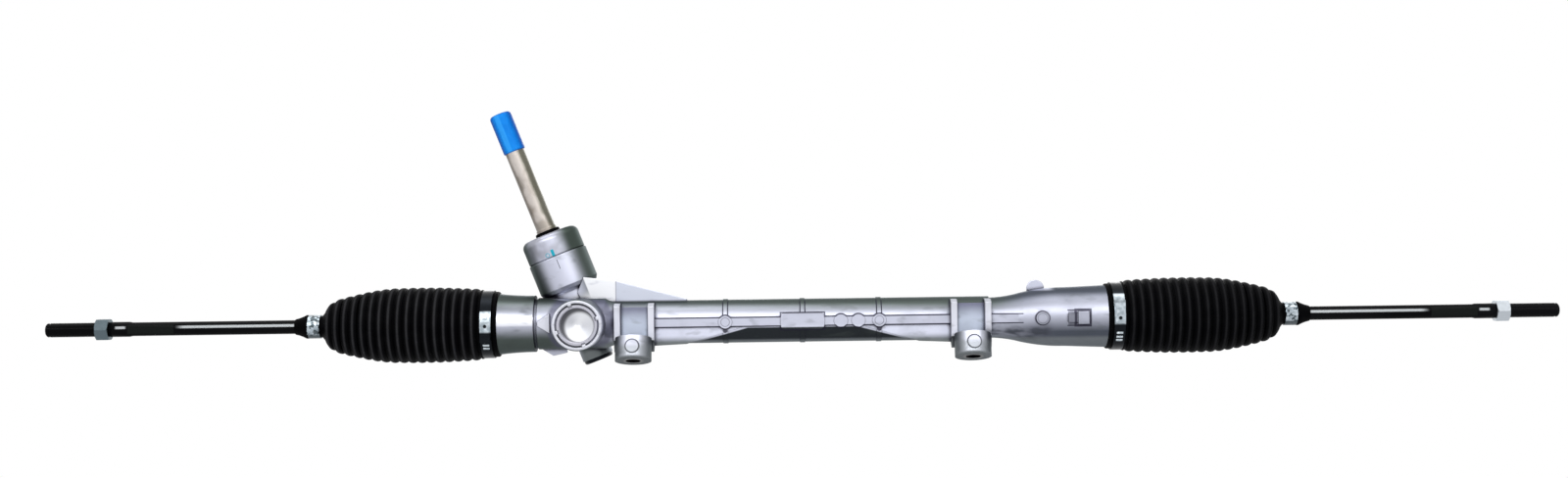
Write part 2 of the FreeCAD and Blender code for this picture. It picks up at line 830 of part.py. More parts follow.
def rack_guide():
    saddle = d.bar_radius + d.running_gap + d.liner_thickness + d.seat_gap
    ring_at = d.yoke_back - 5
    spring_start = d.yoke_back - d.spring_pocket
    blank = turned("yoke_blank", ON_YOKE, [
        (2.5, 0),
        (2.5, d.yoke_radius),
        (ring_at - 1.3, d.yoke_radius),
        (ring_at - 1.3, d.yoke_radius - 2 * d.ring_cord_radius),
        (ring_at + 1.3, d.yoke_radius - 2 * d.ring_cord_radius),
        (ring_at + 1.3, d.yoke_radius),
        (d.yoke_back - 0.7, d.yoke_radius),
        (d.yoke_back, d.yoke_radius - 0.7),
        (d.yoke_back, 0),
    ])
    reach = 40
    relief = rod("yoke_saddle", ROW, -d.pinion_left - reach, -d.pinion_left + reach, saddle)
    pocket = rod("yoke_spring_pocket", ON_YOKE, spring_start, d.yoke_back + 1, d.spring_radius + 2.2)
    keep(cut("rack_guide_yoke", blank, [relief, pocket], GEAR))

    width = d.yoke_radius - 3
    outer = rod("liner_outer", ROW, -d.pinion_left - width, -d.pinion_left + width, saddle - d.seat_gap)
    inner = rod("liner_inner", ROW, -d.pinion_left - width - 1, -d.pinion_left + width + 1,
                d.bar_radius + d.running_gap)
    width = (-d.pinion_left - reach, -d.pinion_left + reach)
    behind = block("liner_behind", ROW, width, (-5, reach), (-reach, reach))
    keep(cut("yoke_liner", outer, [inner, behind], GEAR))

    seal = new("Part::Torus", "yoke_o_ring", f"{YOKE} * {shift(ring_at)} * {turn('0; 1; 0', 90)}")
    bind(seal, Radius1=d.yoke_radius - d.ring_cord_radius, Radius2=d.ring_cord_radius - d.seat_gap)
    keep(seal)

    spring_end = d.yoke_face - d.plug_length
    free = spring_end.number - spring_start.number - 2 * d.spring_wire_radius.number
    helix = Part.makeHelix(free / d.spring_turns.number, free, d.spring_radius.number)
    helix.translate(Vector(0, 0, d.spring_wire_radius.number))
    wire = Part.Wire(Part.makeCircle(d.spring_wire_radius.number - 0.05,
                                     Vector(d.spring_radius.number, 0, d.spring_wire_radius.number),
                                     Vector(0, 1, 0)))
    coil = Part.Wire(helix.Edges).makePipeShell([wire], True, True)
    keep(shaped("yoke_spring", f"{YOKE} * {shift(spring_start)} * {turn('0; 1; 0', 90)}", coil))


def adjuster_plug():
    back = d.yoke_face - d.plug_length
    front = d.yoke_face - 0.4
    floor = front - d.plug_recess_depth
    notch = 1.6
    plug = turned("plug_blank", None, [
        (back, 0),
        (back, d.plug_radius),
        (front - 0.6, d.plug_radius),
        (front, d.plug_radius - 0.6),
        (front, d.plug_recess_radius + 0.5),
        (front - 0.5, d.plug_recess_radius),
        (floor, d.plug_recess_radius),
        (floor - d.plug_cone_depth, 0),
    ])
    notches = []
    for i in range(4):
        angle = 19 + 90 * i
        notches.append(block(f"plug_notch_{i}", turn("1; 0; 0", angle), (front - 1.4, front + 1),
                             (d.plug_recess_radius + 1, d.plug_radius + 1), (-notch, notch)))
    return keep(cut("yoke_adjuster_plug", plug, notches, YOKE))


rack_guide()
adjuster_plug()


# Rack bar with its teeth, and the bush at its plain end

bar_end = d.end_face - d.stop_depth + d.travel + d.stop_gap
socket_face = bar_end + d.lock_washer_thickness


def rack_bar():
    edge = 1
    bar = turned("rack_bar", GEAR, [
        (-bar_end, 0),
        (-bar_end, d.bar_radius - edge),
        (-bar_end + edge, d.bar_radius),
        (bar_end - edge, d.bar_radius),
        (bar_end, d.bar_radius - edge),
        (bar_end, 0),
    ])
    for side, sign in (("left", -1), ("right", 1)):
        mouth = sign * bar_end
        floor = sign * (bar_end - d.bar_end_bore_depth)
        corners = [(mouth, 0), (mouth, d.bar_end_bore_radius), (floor, d.bar_end_bore_radius),
                   (floor - sign * 3, 0)]
        bore = bar.newObject("PartDesign::Groove", f"{side}_end_bore")
        bore.Profile = add_sketch(bar, f"{side}_end_bore_outline", corners)
        bore.ReferenceAxis = (bore.Profile[0], ["H_Axis"])
        bore.Angle = 360
    pitch = math.pi * d.tooth_module
    gaps_each_side = 12
    toothed = gaps_each_side * pitch + 2
    flat = bar.newObject("PartDesign::Pocket", "tooth_flat")
    flat.Profile = add_sketch(bar, "tooth_flat_outline", [
        (-d.pinion_left - toothed, d.rack_tip_height),
        (-d.pinion_left + toothed, d.rack_tip_height),
        (-d.pinion_left + toothed + 4, d.bar_radius + 1),
        (-d.pinion_left - toothed - 4, d.bar_radius + 1),
    ])
    flat.Type = 1
    flat.Midplane = True
    slope = math.tan(math.radians(d.pressure_angle.number))
    quarter = pitch / 4
    root = d.rack_tip_height - d.rack_addendum - d.rack_dedendum
    first = -d.pinion_left - gaps_each_side * pitch
    above = 1
    top_half = quarter + (d.rack_addendum + above) * slope
    root_half = quarter - d.rack_dedendum * slope
    gap = bar.newObject("PartDesign::Pocket", "tooth_gap")
    gap.Profile = add_sketch(bar, "tooth_gap_outline", [
        (first - root_half, root),
        (first + root_half, root),
        (first + top_half, d.rack_tip_height + above),
        (first - top_half, d.rack_tip_height + above),
    ])
    gap.Type = 1
    gap.Midplane = True
    row = bar.newObject("PartDesign::LinearPattern", "tooth_row")
    row.Originals = [gap]
    row.Direction = (gap.Profile[0], ["H_Axis"])
    row.Occurrences = 2 * gaps_each_side + 1
    bind(row, Length=2 * gaps_each_side * pitch)
    bar.Tip = row
    return keep(bar)


def rack_bush():
    shoulder = d.end_face - d.stop_depth
    return keep(ring("rack_bush", GEAR, shoulder - d.bush_length + 0.1, shoulder - 0.5,
                     d.bar_radius + d.running_gap, d.bar_radius + d.bush_wall - d.seat_gap))


def mount_sleeves():
    sleeves = []
    for side, centre in (("left", -d.mount_half_spacing), ("right", d.mount_half_spacing)):
        upright = f"{shift(centre)} * {turn('0; 1; 0', -90)}"
        outer = rod(f"{side}_sleeve_outer", upright, sized(0), d.boss_height, d.sleeve_radius - d.seat_gap)
        inner = rod(f"{side}_sleeve_inner", upright, sized(-1), d.boss_height + 1, d.bolt_hole_radius)
        sleeves.append(cut(f"{side}_sleeve", outer, [inner]))
    group = new("Part::Compound", "mount_sleeves")
    group.Links = sleeves
    return keep(group)


rack_bar()
rack_bush()
mount_sleeves()


# Each side: boot with its clamps, ball joint and tie rod, built outwards along +X

ball_at = socket_face + d.ball_centre
neck_bore = d.rod_radius + 0.1
thread_start = d.rod_tip - d.rod_thread_length


def boot(side):
    """A bellows that grips the housing end and the tie rod."""
    inner_start = d.boot_inner_end
    first_fold = d.end_face + 2
    shoulder_end = d.boot_outer_end - 3
    pitch = (shoulder_end - first_fold) / (d.boot_folds + 1)
    count = int(d.boot_folds.number)
    lip = d.boot_outer_end + d.boot_neck_length + 5
    seat = d.large_clamp_radius - d.clamp_thickness - d.seat_gap
    neck = d.small_clamp_radius - d.clamp_thickness - d.seat_gap
    clamp_end = d.end_face - 2
    clamp_start = clamp_end - d.large_clamp_width - 0.4
    outside = [
        (inner_start, d.boot_seat_radius + d.free_gap + 1.6),
        (inner_start, d.boot_seat_radius + d.free_gap + 2.6),
        (clamp_start, d.boot_seat_radius + d.free_gap + 2.8),
        (clamp_start, seat),
        (clamp_end, seat),
        (clamp_end, seat + 1.4),
    ]
    folds = []
    for i in range(count):
        share = i / (count - 1)
        rise = min(1, (i + 3) / 5)
        fall = 1 - 0.27 * max(0, (share - 0.62) / 0.38) ** 1.2
        crest = d.boot_crest_radius * (0.955 + 0.045 * rise) * fall
        start = first_fold + pitch * i
        folds.append((start, crest - d.boot_fold_depth))
        folds.append((start + pitch * 0.5, crest))
    outside += folds
    outside += [
        (shoulder_end - pitch * 0.9, d.boot_crest_radius * 0.66),
        (shoulder_end, d.boot_crest_radius * 0.58),
        (d.boot_outer_end, neck),
        (d.boot_outer_end + d.boot_neck_length, neck),
        (d.boot_outer_end + d.boot_neck_length, neck - 0.6),
        (lip, neck_bore + 0.7),
    ]
    inside = [
        (lip, neck_bore),
        (d.boot_outer_end + 1, neck_bore),
        (shoulder_end - 1, d.boot_crest_radius * 0.58 - 2.4),
    ]
    inside += [(x, radius - d.boot_wall - (0.4 if i % 2 else 0)) for i, (x, radius) in
               reversed(list(enumerate(folds)))]
    inside += [
        (d.end_face + d.free_gap, d.boot_seat_radius + 0.1),
        (d.end_face - d.boot_seat_length + d.free_gap, d.boot_seat_radius + 0.1),
        (d.end_face - d.boot_seat_length + d.free_gap, d.boot_seat_radius + d.free_gap + 1.6),
    ]
    return keep(turned(f"{side}_boot", SIDES[side], outside + inside))


def clamp(label, frame, start, end, radius, reach):
    """A pinched band with a raised plate and a folded ear on the camera side."""
    band = ring(f"{label}_band", None, start, end, radius - d.clamp_thickness, radius)
    plate = block(f"{label}_plate", ROW, (start + 0.3, end - 0.3), (-radius - 1.2, -radius + 1),
                  (-reach * 0.2, reach))
    ear = block(f"{label}_ear", ROW, (start + 1, end - 1), (-radius - 2.6, -radius - 1),
                (reach * 0.25, reach * 0.6))
    whole = fused(f"{label}_whole", [band, plate, ear])
    hollow = rod(f"{label}_hollow", ROW, start - 1, end + 1, radius - d.clamp_thickness)
    return keep(cut(label, whole, [hollow], frame))


def boot_clamps(side):
    frame = SIDES[side]
    clamp_end = d.end_face - 2.2
    clamp(f"{side}_large_clamp", frame, clamp_end - d.large_clamp_width, clamp_end, d.large_clamp_radius, 14)
    clamp(f"{side}_small_clamp", frame, d.boot_outer_end + 0.4, d.boot_outer_end + d.boot_neck_length - 0.4,
          d.small_clamp_radius, 6)


def bulge(radius, x_a, y_a, x_b, y_b):
    """The sagitta of the arc about the ball's centre between two points of its circle, given from that centre."""
    radius, x_a, y_a, x_b, y_b = (float(v) for v in (radius, x_a, y_a, x_b, y_b))
    return radius - math.hypot(x_a + x_b, y_a + y_b) / 2


def ball_joint(side):
    frame = SIDES[side]
    cavity = d.tie_ball_radius + d.ball_seat_thickness + 2 * d.running_gap
    mouth = 10
    mouth_at = ball_at + math.sqrt(cavity.number ** 2 - mouth ** 2)
    socket_end = ball_at + 12
    stud = socket_face - d.lock_washer_thickness - d.bar_end_bore_depth + 1
    blank = turned(f"{side}_socket_blank", None, [
        (stud, 0),
        (stud, d.bar_end_bore_radius - 1),
        (stud + 1, d.bar_end_bore_radius - d.seat_gap),
        (socket_face, d.bar_end_bore_radius - d.seat_gap),
        (socket_face, d.socket_radius),
        (ball_at + 4, d.socket_radius, 0.8),
        (socket_end, d.socket_radius - 3.4),
        (socket_end, mouth + 2.2),
        (mouth_at, mouth, -bulge(cavity, mouth_at - ball_at, mouth, -cavity, 0)),
        (ball_at - cavity, 0),
    ])
    flats = []
    for sign in (-1, 1):
        z = (d.socket_flat, d.socket_radius + 1) if sign > 0 else (-d.socket_radius - 1, -d.socket_flat)
        flats.append(block(f"{side}_socket_flat_{'b' if sign > 0 else 'a'}", ROW, (socket_face - 1, socket_face + 12),
                           (-20, 20), z))
    keep(cut(f"{side}_ball_socket", blank, flats, frame))
    keep(ring(f"{side}_lock_washer", frame, bar_end + 0.01, socket_face - 0.01,
              d.bar_end_bore_radius + d.free_gap, d.socket_flat - 0.4))

    inner = d.tie_ball_radius + d.running_gap
    outer = inner + d.ball_seat_thickness
    rim = 7.2
    grease_hole = 3
    rim_outer = math.sqrt(outer.number ** 2 - rim ** 2)
    rim_inner = math.sqrt(inner.number ** 2 - rim ** 2)
    back_outer = math.sqrt(outer.number ** 2 - grease_hole ** 2)
    back_inner = math.sqrt(inner.number ** 2 - grease_hole ** 2)
    keep(turned(f"{side}_ball_seat", frame, [
        (ball_at - back_outer, grease_hole, bulge(outer, -back_outer, grease_hole, rim, rim_outer)),
        (ball_at + rim, rim_outer),
        (ball_at + rim, rim_inner, -bulge(inner, -back_inner, grease_hole, rim, rim_inner)),
        (ball_at - back_inner, grease_hole),
    ]))


def tie_rod(side):
    neck_end = ball_at + 26
    runout = d.rod_thread_radius - 0.4
    collar = d.rod_radius + d.collar_height
    collar_start = thread_start - 1 - d.collar_length
    free_thread = thread_start + d.nut_width + 0.4
    edge = 1.2
    ball_end = math.sqrt(d.tie_ball_radius.number ** 2 - d.rod_neck_radius.number ** 2)
    stem = turned(f"{side}_rod_stem", None, [
        (ball_at - d.tie_ball_radius, 0, bulge(d.tie_ball_radius, -d.tie_ball_radius, 0, ball_end, d.rod_neck_radius)),
        (ball_at + ball_end, d.rod_neck_radius),
        (neck_end, d.rod_neck_radius),
        (neck_end + 5, d.rod_radius),
        (collar_start - 2, d.rod_radius),
        (collar_start, collar),
        (thread_start - 1, collar),
        (thread_start, runout),
        (free_thread, runout),
        (free_thread, d.rod_thread_radius),
        (d.rod_tip - edge, d.rod_thread_radius),
        (d.rod_tip, d.rod_thread_radius - edge),
        (d.rod_tip, 0),
    ])
    flats = []
    flat_end = thread_start - d.flat_to_thread
    flat_start = flat_end - d.flat_length
    across = d.rod_radius - d.flat_depth
    clear = 2 * d.rod_radius
    for name, y in (("a", (-clear, -across)), ("b", (across, clear))):
        flats.append(block(f"{side}_rod_flat_{name}", ROW, (flat_start, flat_end), y, (-clear, clear)))
    keep(cut(f"{side}_tie_rod", stem, flats, SIDES[side]))


def jam_nut(side):
    start = thread_start
    end = start + d.nut_width
    half = d.nut_flats / 2
    corner = d.nut_flats / math.sqrt(3)
    bore = d.rod_thread_radius + d.running_gap
    outline = [(corner / 2, half), (-corner / 2, half), (-corner, 0), (-corner / 2, -half), (corner / 2, -half),
               (corner, 0)]
    hexagon = padded(f"{side}_nut_hexagon", None, outline, d.nut_width, "YZ_Plane", start=start)
    bevel = 2
    cone = turned(f"{side}_nut_bevel", None, [
        (start, bore),
        (start, half + 0.2),
        (start + bevel * 0.6, half + bevel),
        (end - bevel * 0.6, half + bevel),
        (end, half + 0.2),
        (end, bore),
    ])
    made = new("Part::Common", f"{side}_jam_nut", SIDES[side])
    made.Base = hexagon
    made.Tool = cone
    return keep(made)


for side in SIDES:
    boot(side)
    boot_clamps(side)
    ball_joint(side)
    tie_rod(side)
    jam_nut(side)

doc.recompute()

failed = [made.Label for made in doc.Objects if "Invalid" in made.State or "Error" in made.State]
if failed:
    raise SystemExit(f"failed: {failed}")
for made in parts:
    if made.Shape.isNull() or not made.Shape.isValid() or not made.Shape.Solids:
        raise SystemExit(f"{made.Label} has no valid solid")

os.makedirs("parts", exist_ok=True)
for made in parts:
    made.Shape.exportStep(f"parts/{made.Label}.step")
print(len(parts), "pieces")
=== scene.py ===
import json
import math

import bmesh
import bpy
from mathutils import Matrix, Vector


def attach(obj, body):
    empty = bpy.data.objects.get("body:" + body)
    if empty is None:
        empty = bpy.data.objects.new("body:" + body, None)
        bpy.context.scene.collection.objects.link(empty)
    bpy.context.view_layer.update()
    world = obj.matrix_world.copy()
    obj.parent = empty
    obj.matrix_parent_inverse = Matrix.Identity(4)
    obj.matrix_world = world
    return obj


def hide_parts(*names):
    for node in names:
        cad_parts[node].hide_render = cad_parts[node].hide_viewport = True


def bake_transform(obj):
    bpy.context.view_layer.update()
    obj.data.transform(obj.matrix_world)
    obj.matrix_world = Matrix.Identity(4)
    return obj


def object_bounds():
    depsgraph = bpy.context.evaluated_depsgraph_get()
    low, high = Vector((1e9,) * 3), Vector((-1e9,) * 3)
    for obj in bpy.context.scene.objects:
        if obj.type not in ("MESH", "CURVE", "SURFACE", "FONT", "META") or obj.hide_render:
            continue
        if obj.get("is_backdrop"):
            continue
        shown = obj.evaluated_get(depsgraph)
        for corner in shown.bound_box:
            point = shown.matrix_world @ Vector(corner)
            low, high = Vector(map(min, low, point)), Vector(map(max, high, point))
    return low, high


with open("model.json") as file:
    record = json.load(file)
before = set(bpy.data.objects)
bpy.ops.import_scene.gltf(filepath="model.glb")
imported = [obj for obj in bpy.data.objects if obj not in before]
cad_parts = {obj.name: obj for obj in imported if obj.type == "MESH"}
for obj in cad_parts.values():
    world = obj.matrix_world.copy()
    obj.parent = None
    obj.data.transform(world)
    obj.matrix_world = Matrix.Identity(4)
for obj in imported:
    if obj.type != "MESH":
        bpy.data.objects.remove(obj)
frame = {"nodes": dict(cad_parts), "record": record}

# %% [markdown]
# # A steering rack, dressed for a studio picture
#
# The packed CAD model is already loaded, in metres: X runs along the rack to the right, Z points up
# the mounting bolts, and Y points away from the person who looks at the adjuster plug. Its solids
# keep their places. This lesson gives each of them a finish, and replaces the few whose real form is
# softer or finer than a plain solid: the rubber boots and the tie rods with their rolled threads.
# Buckles and stake marks are added to the clamps and the adjuster.

cad_low, cad_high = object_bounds()
MM = 0.001
AXIS_BACK, AXIS_UP, GEAR_TILT = 28 * MM, 39.2 * MM, math.radians(16)
SHAFT_LEAN, PINION_LEFT = math.radians(21.4), 184 * MM
TEETH, TOOTH_MODULE, PROFILE_SHIFT, RACK_PITCH_LINE = 7, 2 * MM, 1.2 * MM, 6.4 * MM
PINION_BEHIND = RACK_PITCH_LINE + PROFILE_SHIFT + TEETH * TOOTH_MODULE / 2 / math.cos(SHAFT_LEAN)
print("CAD box, mm:", [round((h - l) / MM, 1) for l, h in zip(cad_low, cad_high)])

# %% [markdown]
# ## Where each piece stands
#
# The rack, the pinion and the adjuster plug share one gear frame, which is tilted back by 16 degrees
# about the rack's axis. The left side is the right side turned half a turn about the tilted upright
# axis, so a boot or a tie rod is drawn once, outwards along +X, and placed twice. The pinion's frame
# has its X axis up the leaning shaft.

# %% Frames
GEAR = Matrix.Translation((0, AXIS_BACK, AXIS_UP)) @ Matrix.Rotation(GEAR_TILT, 4, "X")
SIDES = {"left": GEAR @ Matrix.Rotation(math.pi, 4, "Y"), "right": GEAR}
PINION = (GEAR @ Matrix.Translation((-PINION_LEFT, PINION_BEHIND, 0))
          @ Matrix.Rotation(-math.pi / 2 - SHAFT_LEAN, 4, "Y"))
YOKE = GEAR @ Matrix.Translation((-PINION_LEFT, 0, 0)) @ Matrix.Rotation(-math.pi / 2, 4, "Z")
print("pinion axis points along", [round(v, 3) for v in PINION.col[0][:3]])

# %% [markdown]
# ## Writing shader maths as sums
#
# A finish is easier to read as `0.4 + grain * 0.1` than as a page of linked boxes. The class below
# wraps one output socket. Python's own operators add the Math nodes, and `node` adds any other kind:
# first its settings, then the values or links of its sockets.

# %% The Wire class
class Wire:
    """One output socket of a material, on which sums can be written."""

    def __init__(self, socket):
        self.socket = socket

    def node(self, kind, settings=(), inputs=(), out=0):
        tree = self.socket.id_data
        made = tree.nodes.new(kind)
        for name, value in dict(settings).items():
            setattr(made, name, value)
        for name, value in dict(inputs).items():
            if isinstance(value, Wire):
                tree.links.new(value.socket, made.inputs[name])
            else:
                made.inputs[name].default_value = value
        return Wire(made.outputs[out])

    def math(self, operation, *others):
        values = dict(enumerate((self, *others)))
        return self.node("ShaderNodeMath", {"operation": operation}, values)

    def __add__(self, other):
        return self.math("ADD", other)

    def __sub__(self, other):
        return self.math("SUBTRACT", other)

    def __mul__(self, other):
        return self.math("MULTIPLY", other)

    def __rsub__(self, other):
        return self.math("MULTIPLY", -1) + other

    __radd__ = __add__
    __rmul__ = __mul__

    def __abs__(self):
        return self.math("ABSOLUTE")

    def smooth(self, low, high):
        """0 below low, 1 above high, and a soft step between; low may be the larger one."""
        settings = {"interpolation_type": "SMOOTHSTEP"}
        if low > high:
            return 1 - self.smooth(high, low)
        return self.node("ShaderNodeMapRange", settings, {"Value": self, "From Min": low, "From Max": high})

    def between(self, low, high, soft):
        """1 between low and high, fading over soft outside them."""
        return self.smooth(low - soft, low) * self.smooth(high + soft, high)

    def near(self, target, half):
        """1 within half of the target, fading over the same width again."""
        return abs(self - target).smooth(2 * half, half)

    def lowest(self, other):
        return self.math("MINIMUM", other)

    def mix(self, first, second):
        """The colour first where this is 0 and second where it is 1."""
        inputs = {0: self, 6: first, 7: second}
        return self.node("ShaderNodeMix", {"data_type": "RGBA"}, inputs, 2)

    def noise(self, scale, detail, stretch=(1, 1, 1)):
        """Soft noise on this place, stretched by a factor on each axis."""
        place = self.node("ShaderNodeVectorMath", {"operation": "MULTIPLY"}, {0: self, 1: stretch})
        return place.node("ShaderNodeTexNoise", (), {"Vector": place, "Scale": scale, "Detail": detail})

    def grooves(self, scale, detail):
        """Noise along this one number: bands on a length, rings on a radius."""
        line = self.node("ShaderNodeCombineXYZ", (), {"X": self * scale})
        return line.node("ShaderNodeTexNoise", (), {"Vector": line, "Scale": 1.0, "Detail": detail})

    def bump(self, distance, strength, edge=0.0):
        """A normal from this height. With an edge, corners shine as if they were rounded by that much."""
        inputs = {"Height": self, "Distance": distance, "Strength": strength}
        if edge:
            inputs["Normal"] = self.node("ShaderNodeBevel", {"samples": 4}, {"Radius": edge})
        return self.node("ShaderNodeBump", (), inputs)

    def hollow(self, reach):
        """1 deep in a corner and 0 in the open, looking this far around."""
        settings = {"samples": 8, "only_local": True}
        return 1 - self.node("ShaderNodeAmbientOcclusion", settings, {"Distance": reach}, 1)


def length(a, b):
    return (a * a + b * b).math("SQRT")


def in_frame(place, matrix):
    """The place as seen from one of the frames above: three numbers along that frame's axes."""
    moved = place.node("ShaderNodeVectorMath", {"operation": "SUBTRACT"}, {0: place, 1: matrix.translation})
    dots = []
    for axis in range(3):
        dots.append(moved.node("ShaderNodeVectorMath", {"operation": "DOT_PRODUCT"},
                               {0: moved, 1: matrix.col[axis].to_3d()}, 1))
    return dots


print("Wire knows", [name for name in vars(Wire) if name[0] != "_"])

# %% [markdown]
# ## One way to make a finish
#
# Every finish below is a function of the place on the object, in metres. It returns only what varies
# over the surface. What is the same all over is set on the shader itself, as a number.

# %% Making a material from a function
def finish(name, look, **constants):
    made = bpy.data.materials.new(name)
    made.use_nodes = True
    shader = made.node_tree.nodes["Principled BSDF"]
    place = Wire(made.node_tree.nodes.new("ShaderNodeTexCoord").outputs["Object"])
    for socket, value in constants.items():
        shader.inputs[socket.replace("_", " ")].default_value = value
    for socket, value in look(place).items():
        made.node_tree.links.new(value.socket, shader.inputs[socket])
    print("finish", name, "has", len(made.node_tree.nodes), "nodes")
    return made


# %% [markdown]
# ## Die-cast aluminium
#
# The housing is cast under pressure in a polished die, then shot-blasted. It is nearly white with a
# lavender tone, and its upper and lower edges and every corner are painted dark and greenish as
# shade. The first cell measures how far a place is from the forms that stand on the tube: the long
# band, the pad in its middle, the round buttons and the three raised rings. Each of them carries a
# thin dark outline at its foot. All lengths in the finishes are in metres, along the rack, up and
# backwards in the gear frame.

# %% Outlines of the raised forms
BUTTONS = (-0.064, 0.0317, 0.0462, 0.0635)
END_BUTTONS = (BUTTONS[0], BUTTONS[-1])
RINGS = (-0.064, 0.0, 0.0635)
BAND_HALF, PAD_HALF, PAD_END, RING_HALF = 0.0037, 0.0071, 0.0183, 0.002
BUTTON, BUTTON_LIP, NOTCH_BELOW, BAND_END = 0.0057, 0.0036, 0.0072, 0.1222
TAIL_BUTTON, TAIL_BUTTON_LIP, TAIL_BAND = 0.198, 0.0042, (0.1560, 0.1823)
BLOCK, BLOCK_HALF, BLOCK_HALF_HEIGHT = 0.2312, 0.0052, 0.0056
STEP, STEP_SHADE, STEP_HALF_HEIGHT = (0.2186, 0.2250), (0.2192, 0.2256), 0.0064
LINE = 0.0003


def band_distance(along, up):
    """Metres to the outline of the band, its pad and its buttons: below 0 on top of them."""
    pad = (abs(along) - PAD_END).math("MAXIMUM", abs(up) - PAD_HALF)
    distance = (abs(up) - BAND_HALF).lowest(pad)
    for x in BUTTONS:
        distance = distance.lowest(length(along - x, up) - BUTTON)
    return distance


def tube_outlines(along, up):
    """1 on the dark lines of the tube's band, its pad, its buttons and its rings."""
    distance = band_distance(along, up)
    lines = distance.near(0, 0.00036)
    for x in RINGS:
        ring = abs(along - x).near(RING_HALF, LINE)
        lines = lines + ring * distance.smooth(0, 0.0004) * up.smooth(0, 0.003)
    for x in END_BUTTONS:
        lines = lines + length(along - x, up).near(BUTTON_LIP, 0.0002) * 0.6
        lines = lines + length(along - x, up + NOTCH_BELOW).smooth(0.0022, 0.0014)
    return lines * along.between(-BAND_END, BAND_END, LINE)


def tail_outlines(along, up):
    """1 on the dark lines of the tail's band, its button, its block and the step beside it."""
    button = length(along - TAIL_BUTTON, up)
    block = (abs(along - BLOCK) - BLOCK_HALF).math("MAXIMUM", abs(up) - BLOCK_HALF_HEIGHT)
    lines = (abs(up) - BAND_HALF).near(0, LINE) * along.between(*TAIL_BAND, 0.0006)
    lines = lines + button.near(BUTTON, LINE) + button.near(TAIL_BUTTON_LIP, LINE) * 0.4
    lines = lines + block.near(0.0008, 0.0007)
    lines = lines + along.between(*STEP, 0.0005) * abs(up).near(STEP_HALF_HEIGHT, LINE)
    step_face = abs(up).smooth(STEP_HALF_HEIGHT, BLOCK_HALF_HEIGHT)
    return lines + along.between(*STEP_SHADE, 0.0005) * step_face * 0.5


# %% Colours of the casting
LAVENDER, PALE_LAVENDER, PAD_BLUE = (0.55, 0.565, 0.665, 1), (0.68, 0.70, 0.82, 1), (0.54, 0.60, 0.71, 1)
BRIGHT, BARREL_HIGHLIGHT = (0.73, 0.74, 0.81, 1), (0.86, 0.87, 0.93, 1)
EDGE_SHADE, TAIL_SHADE = (0.070, 0.086, 0.080, 1), (0.078, 0.088, 0.112, 1)
GREEN_GREY, FOOT_GREY, BUTTON_GREY = (0.06, 0.072, 0.068, 1), (0.24, 0.26, 0.27, 1), (0.42, 0.43, 0.50, 1)
BOSS_PALE, BOSS_EDGE, BOSS_FOOT = (0.60, 0.62, 0.71, 1), (0.045, 0.053, 0.048, 1), (0.09, 0.09, 0.14, 1)
SHADE, PAD_SHADE, UNDERSIDE = (0.022, 0.026, 0.030, 1), (0.17, 0.17, 0.26, 1), (0.004, 0.008, 0.004, 1)
PATCH_DARK, NEAR_BLACK = (0.06, 0.065, 0.085, 1), (0.020, 0.018, 0.034, 1)
PLATE_PALE, PLATE_BLUE, PLATE_CLOUD = (0.82, 0.83, 0.86, 1), (0.57, 0.60, 0.69, 1), (0.36, 0.38, 0.46, 1)
SEAM_GREY = (0.16, 0.15, 0.22, 1)

# %% [markdown]
# ## Zones of the casting
#
# Each small function below answers one question with a number from 0 to 1: is this place on the
# tower, on the thin web plate, in the painted shade under the tube, or in the painted shade on the
# edges? The finish then only has to mix one colour after another by those numbers. Nothing depends
# on where the camera stands, so the same tones are there from every side.

# %% Edges, web plate and tower
TUBE_RADIUS, BARREL_EXTRA = 0.018, 0.009
GUSSET_END, GUSSET_FOOT, GUSSET_TOP, GUSSET_SLOPE = 0.0946, -0.0177, -0.0042, 0.274
TOWER_RADIUS = 0.0258


def edge_shade(along, up):
    """Painted shade: 1 on upper and lower edges, 0 on the tube's middle and on the barrels' highlight band.
    """
    barrel = abs(along).smooth(0.150, 0.212)
    share = up.math("DIVIDE", barrel * BARREL_EXTRA + TUBE_RADIUS)
    tail = along.smooth(-0.1, 0.1)
    streak = abs(share - (tail * 0.06 + 0.12)).math("DIVIDE", tail * 0.22 + 0.55).smooth(0.12, 1.1)
    streak = (streak + tail * 0.26).lowest(1)
    tube = (share + along * 0.9).smooth(0.22, 0.86) + share.smooth(-0.56, -1.0)
    return tube * (1 - barrel) + streak * barrel


def under_band(along, up):
    """1 on the lower flank of the tube between the two gussets, which run out towards the middle."""
    limit = (GUSSET_FOOT + (GUSSET_END - abs(along)) * GUSSET_SLOPE).lowest(GUSSET_TOP)
    return (limit - up).smooth(0.0001, 0.0012)


def web_plate(along, back, up):
    """1 on the front of the thin plate that stands on the tube beside the tower."""
    face = along.between(-0.195, -0.0965, 0.0004) * back.between(-0.0064, -0.0006, 0.0003)
    return face * up.smooth(0.0175, 0.0185)


def tower_body(stem, behind_stem, beside_stem):
    """1 on the round tower and on the cone below it."""
    around = length(behind_stem, beside_stem)
    return stem.smooth(0.016, 0.026) * around.smooth(TOWER_RADIUS + 0.0006, TOWER_RADIUS)


# %% The painted shade on the edges
TOP_LUG, LOW_LUG = 0.1957, (-0.219, -0.197)


def painted_edge_shade(along, back, up, tower, behind_stem, beside_stem):
    """1 where shade is painted: on upper and lower edges, and on the tower's sides."""
    film_and_shade = edge_shade(along, up) * back.smooth(0.016, 0.004) * (1 - tower)
    film_and_shade = film_and_shade + tower * abs(beside_stem).smooth(0.007, 0.021) * behind_stem.smooth(0.014, 0.002)
    film_and_shade = film_and_shade * (1 - along.near(TOP_LUG, 0.008) * up.smooth(0.0215, 0.0235))
    low_lug = along.between(*LOW_LUG, 0.0005) * back.between(0.004, 0.0125, 0.001)
    return film_and_shade * (1 - low_lug * up.smooth(-0.02, -0.021))


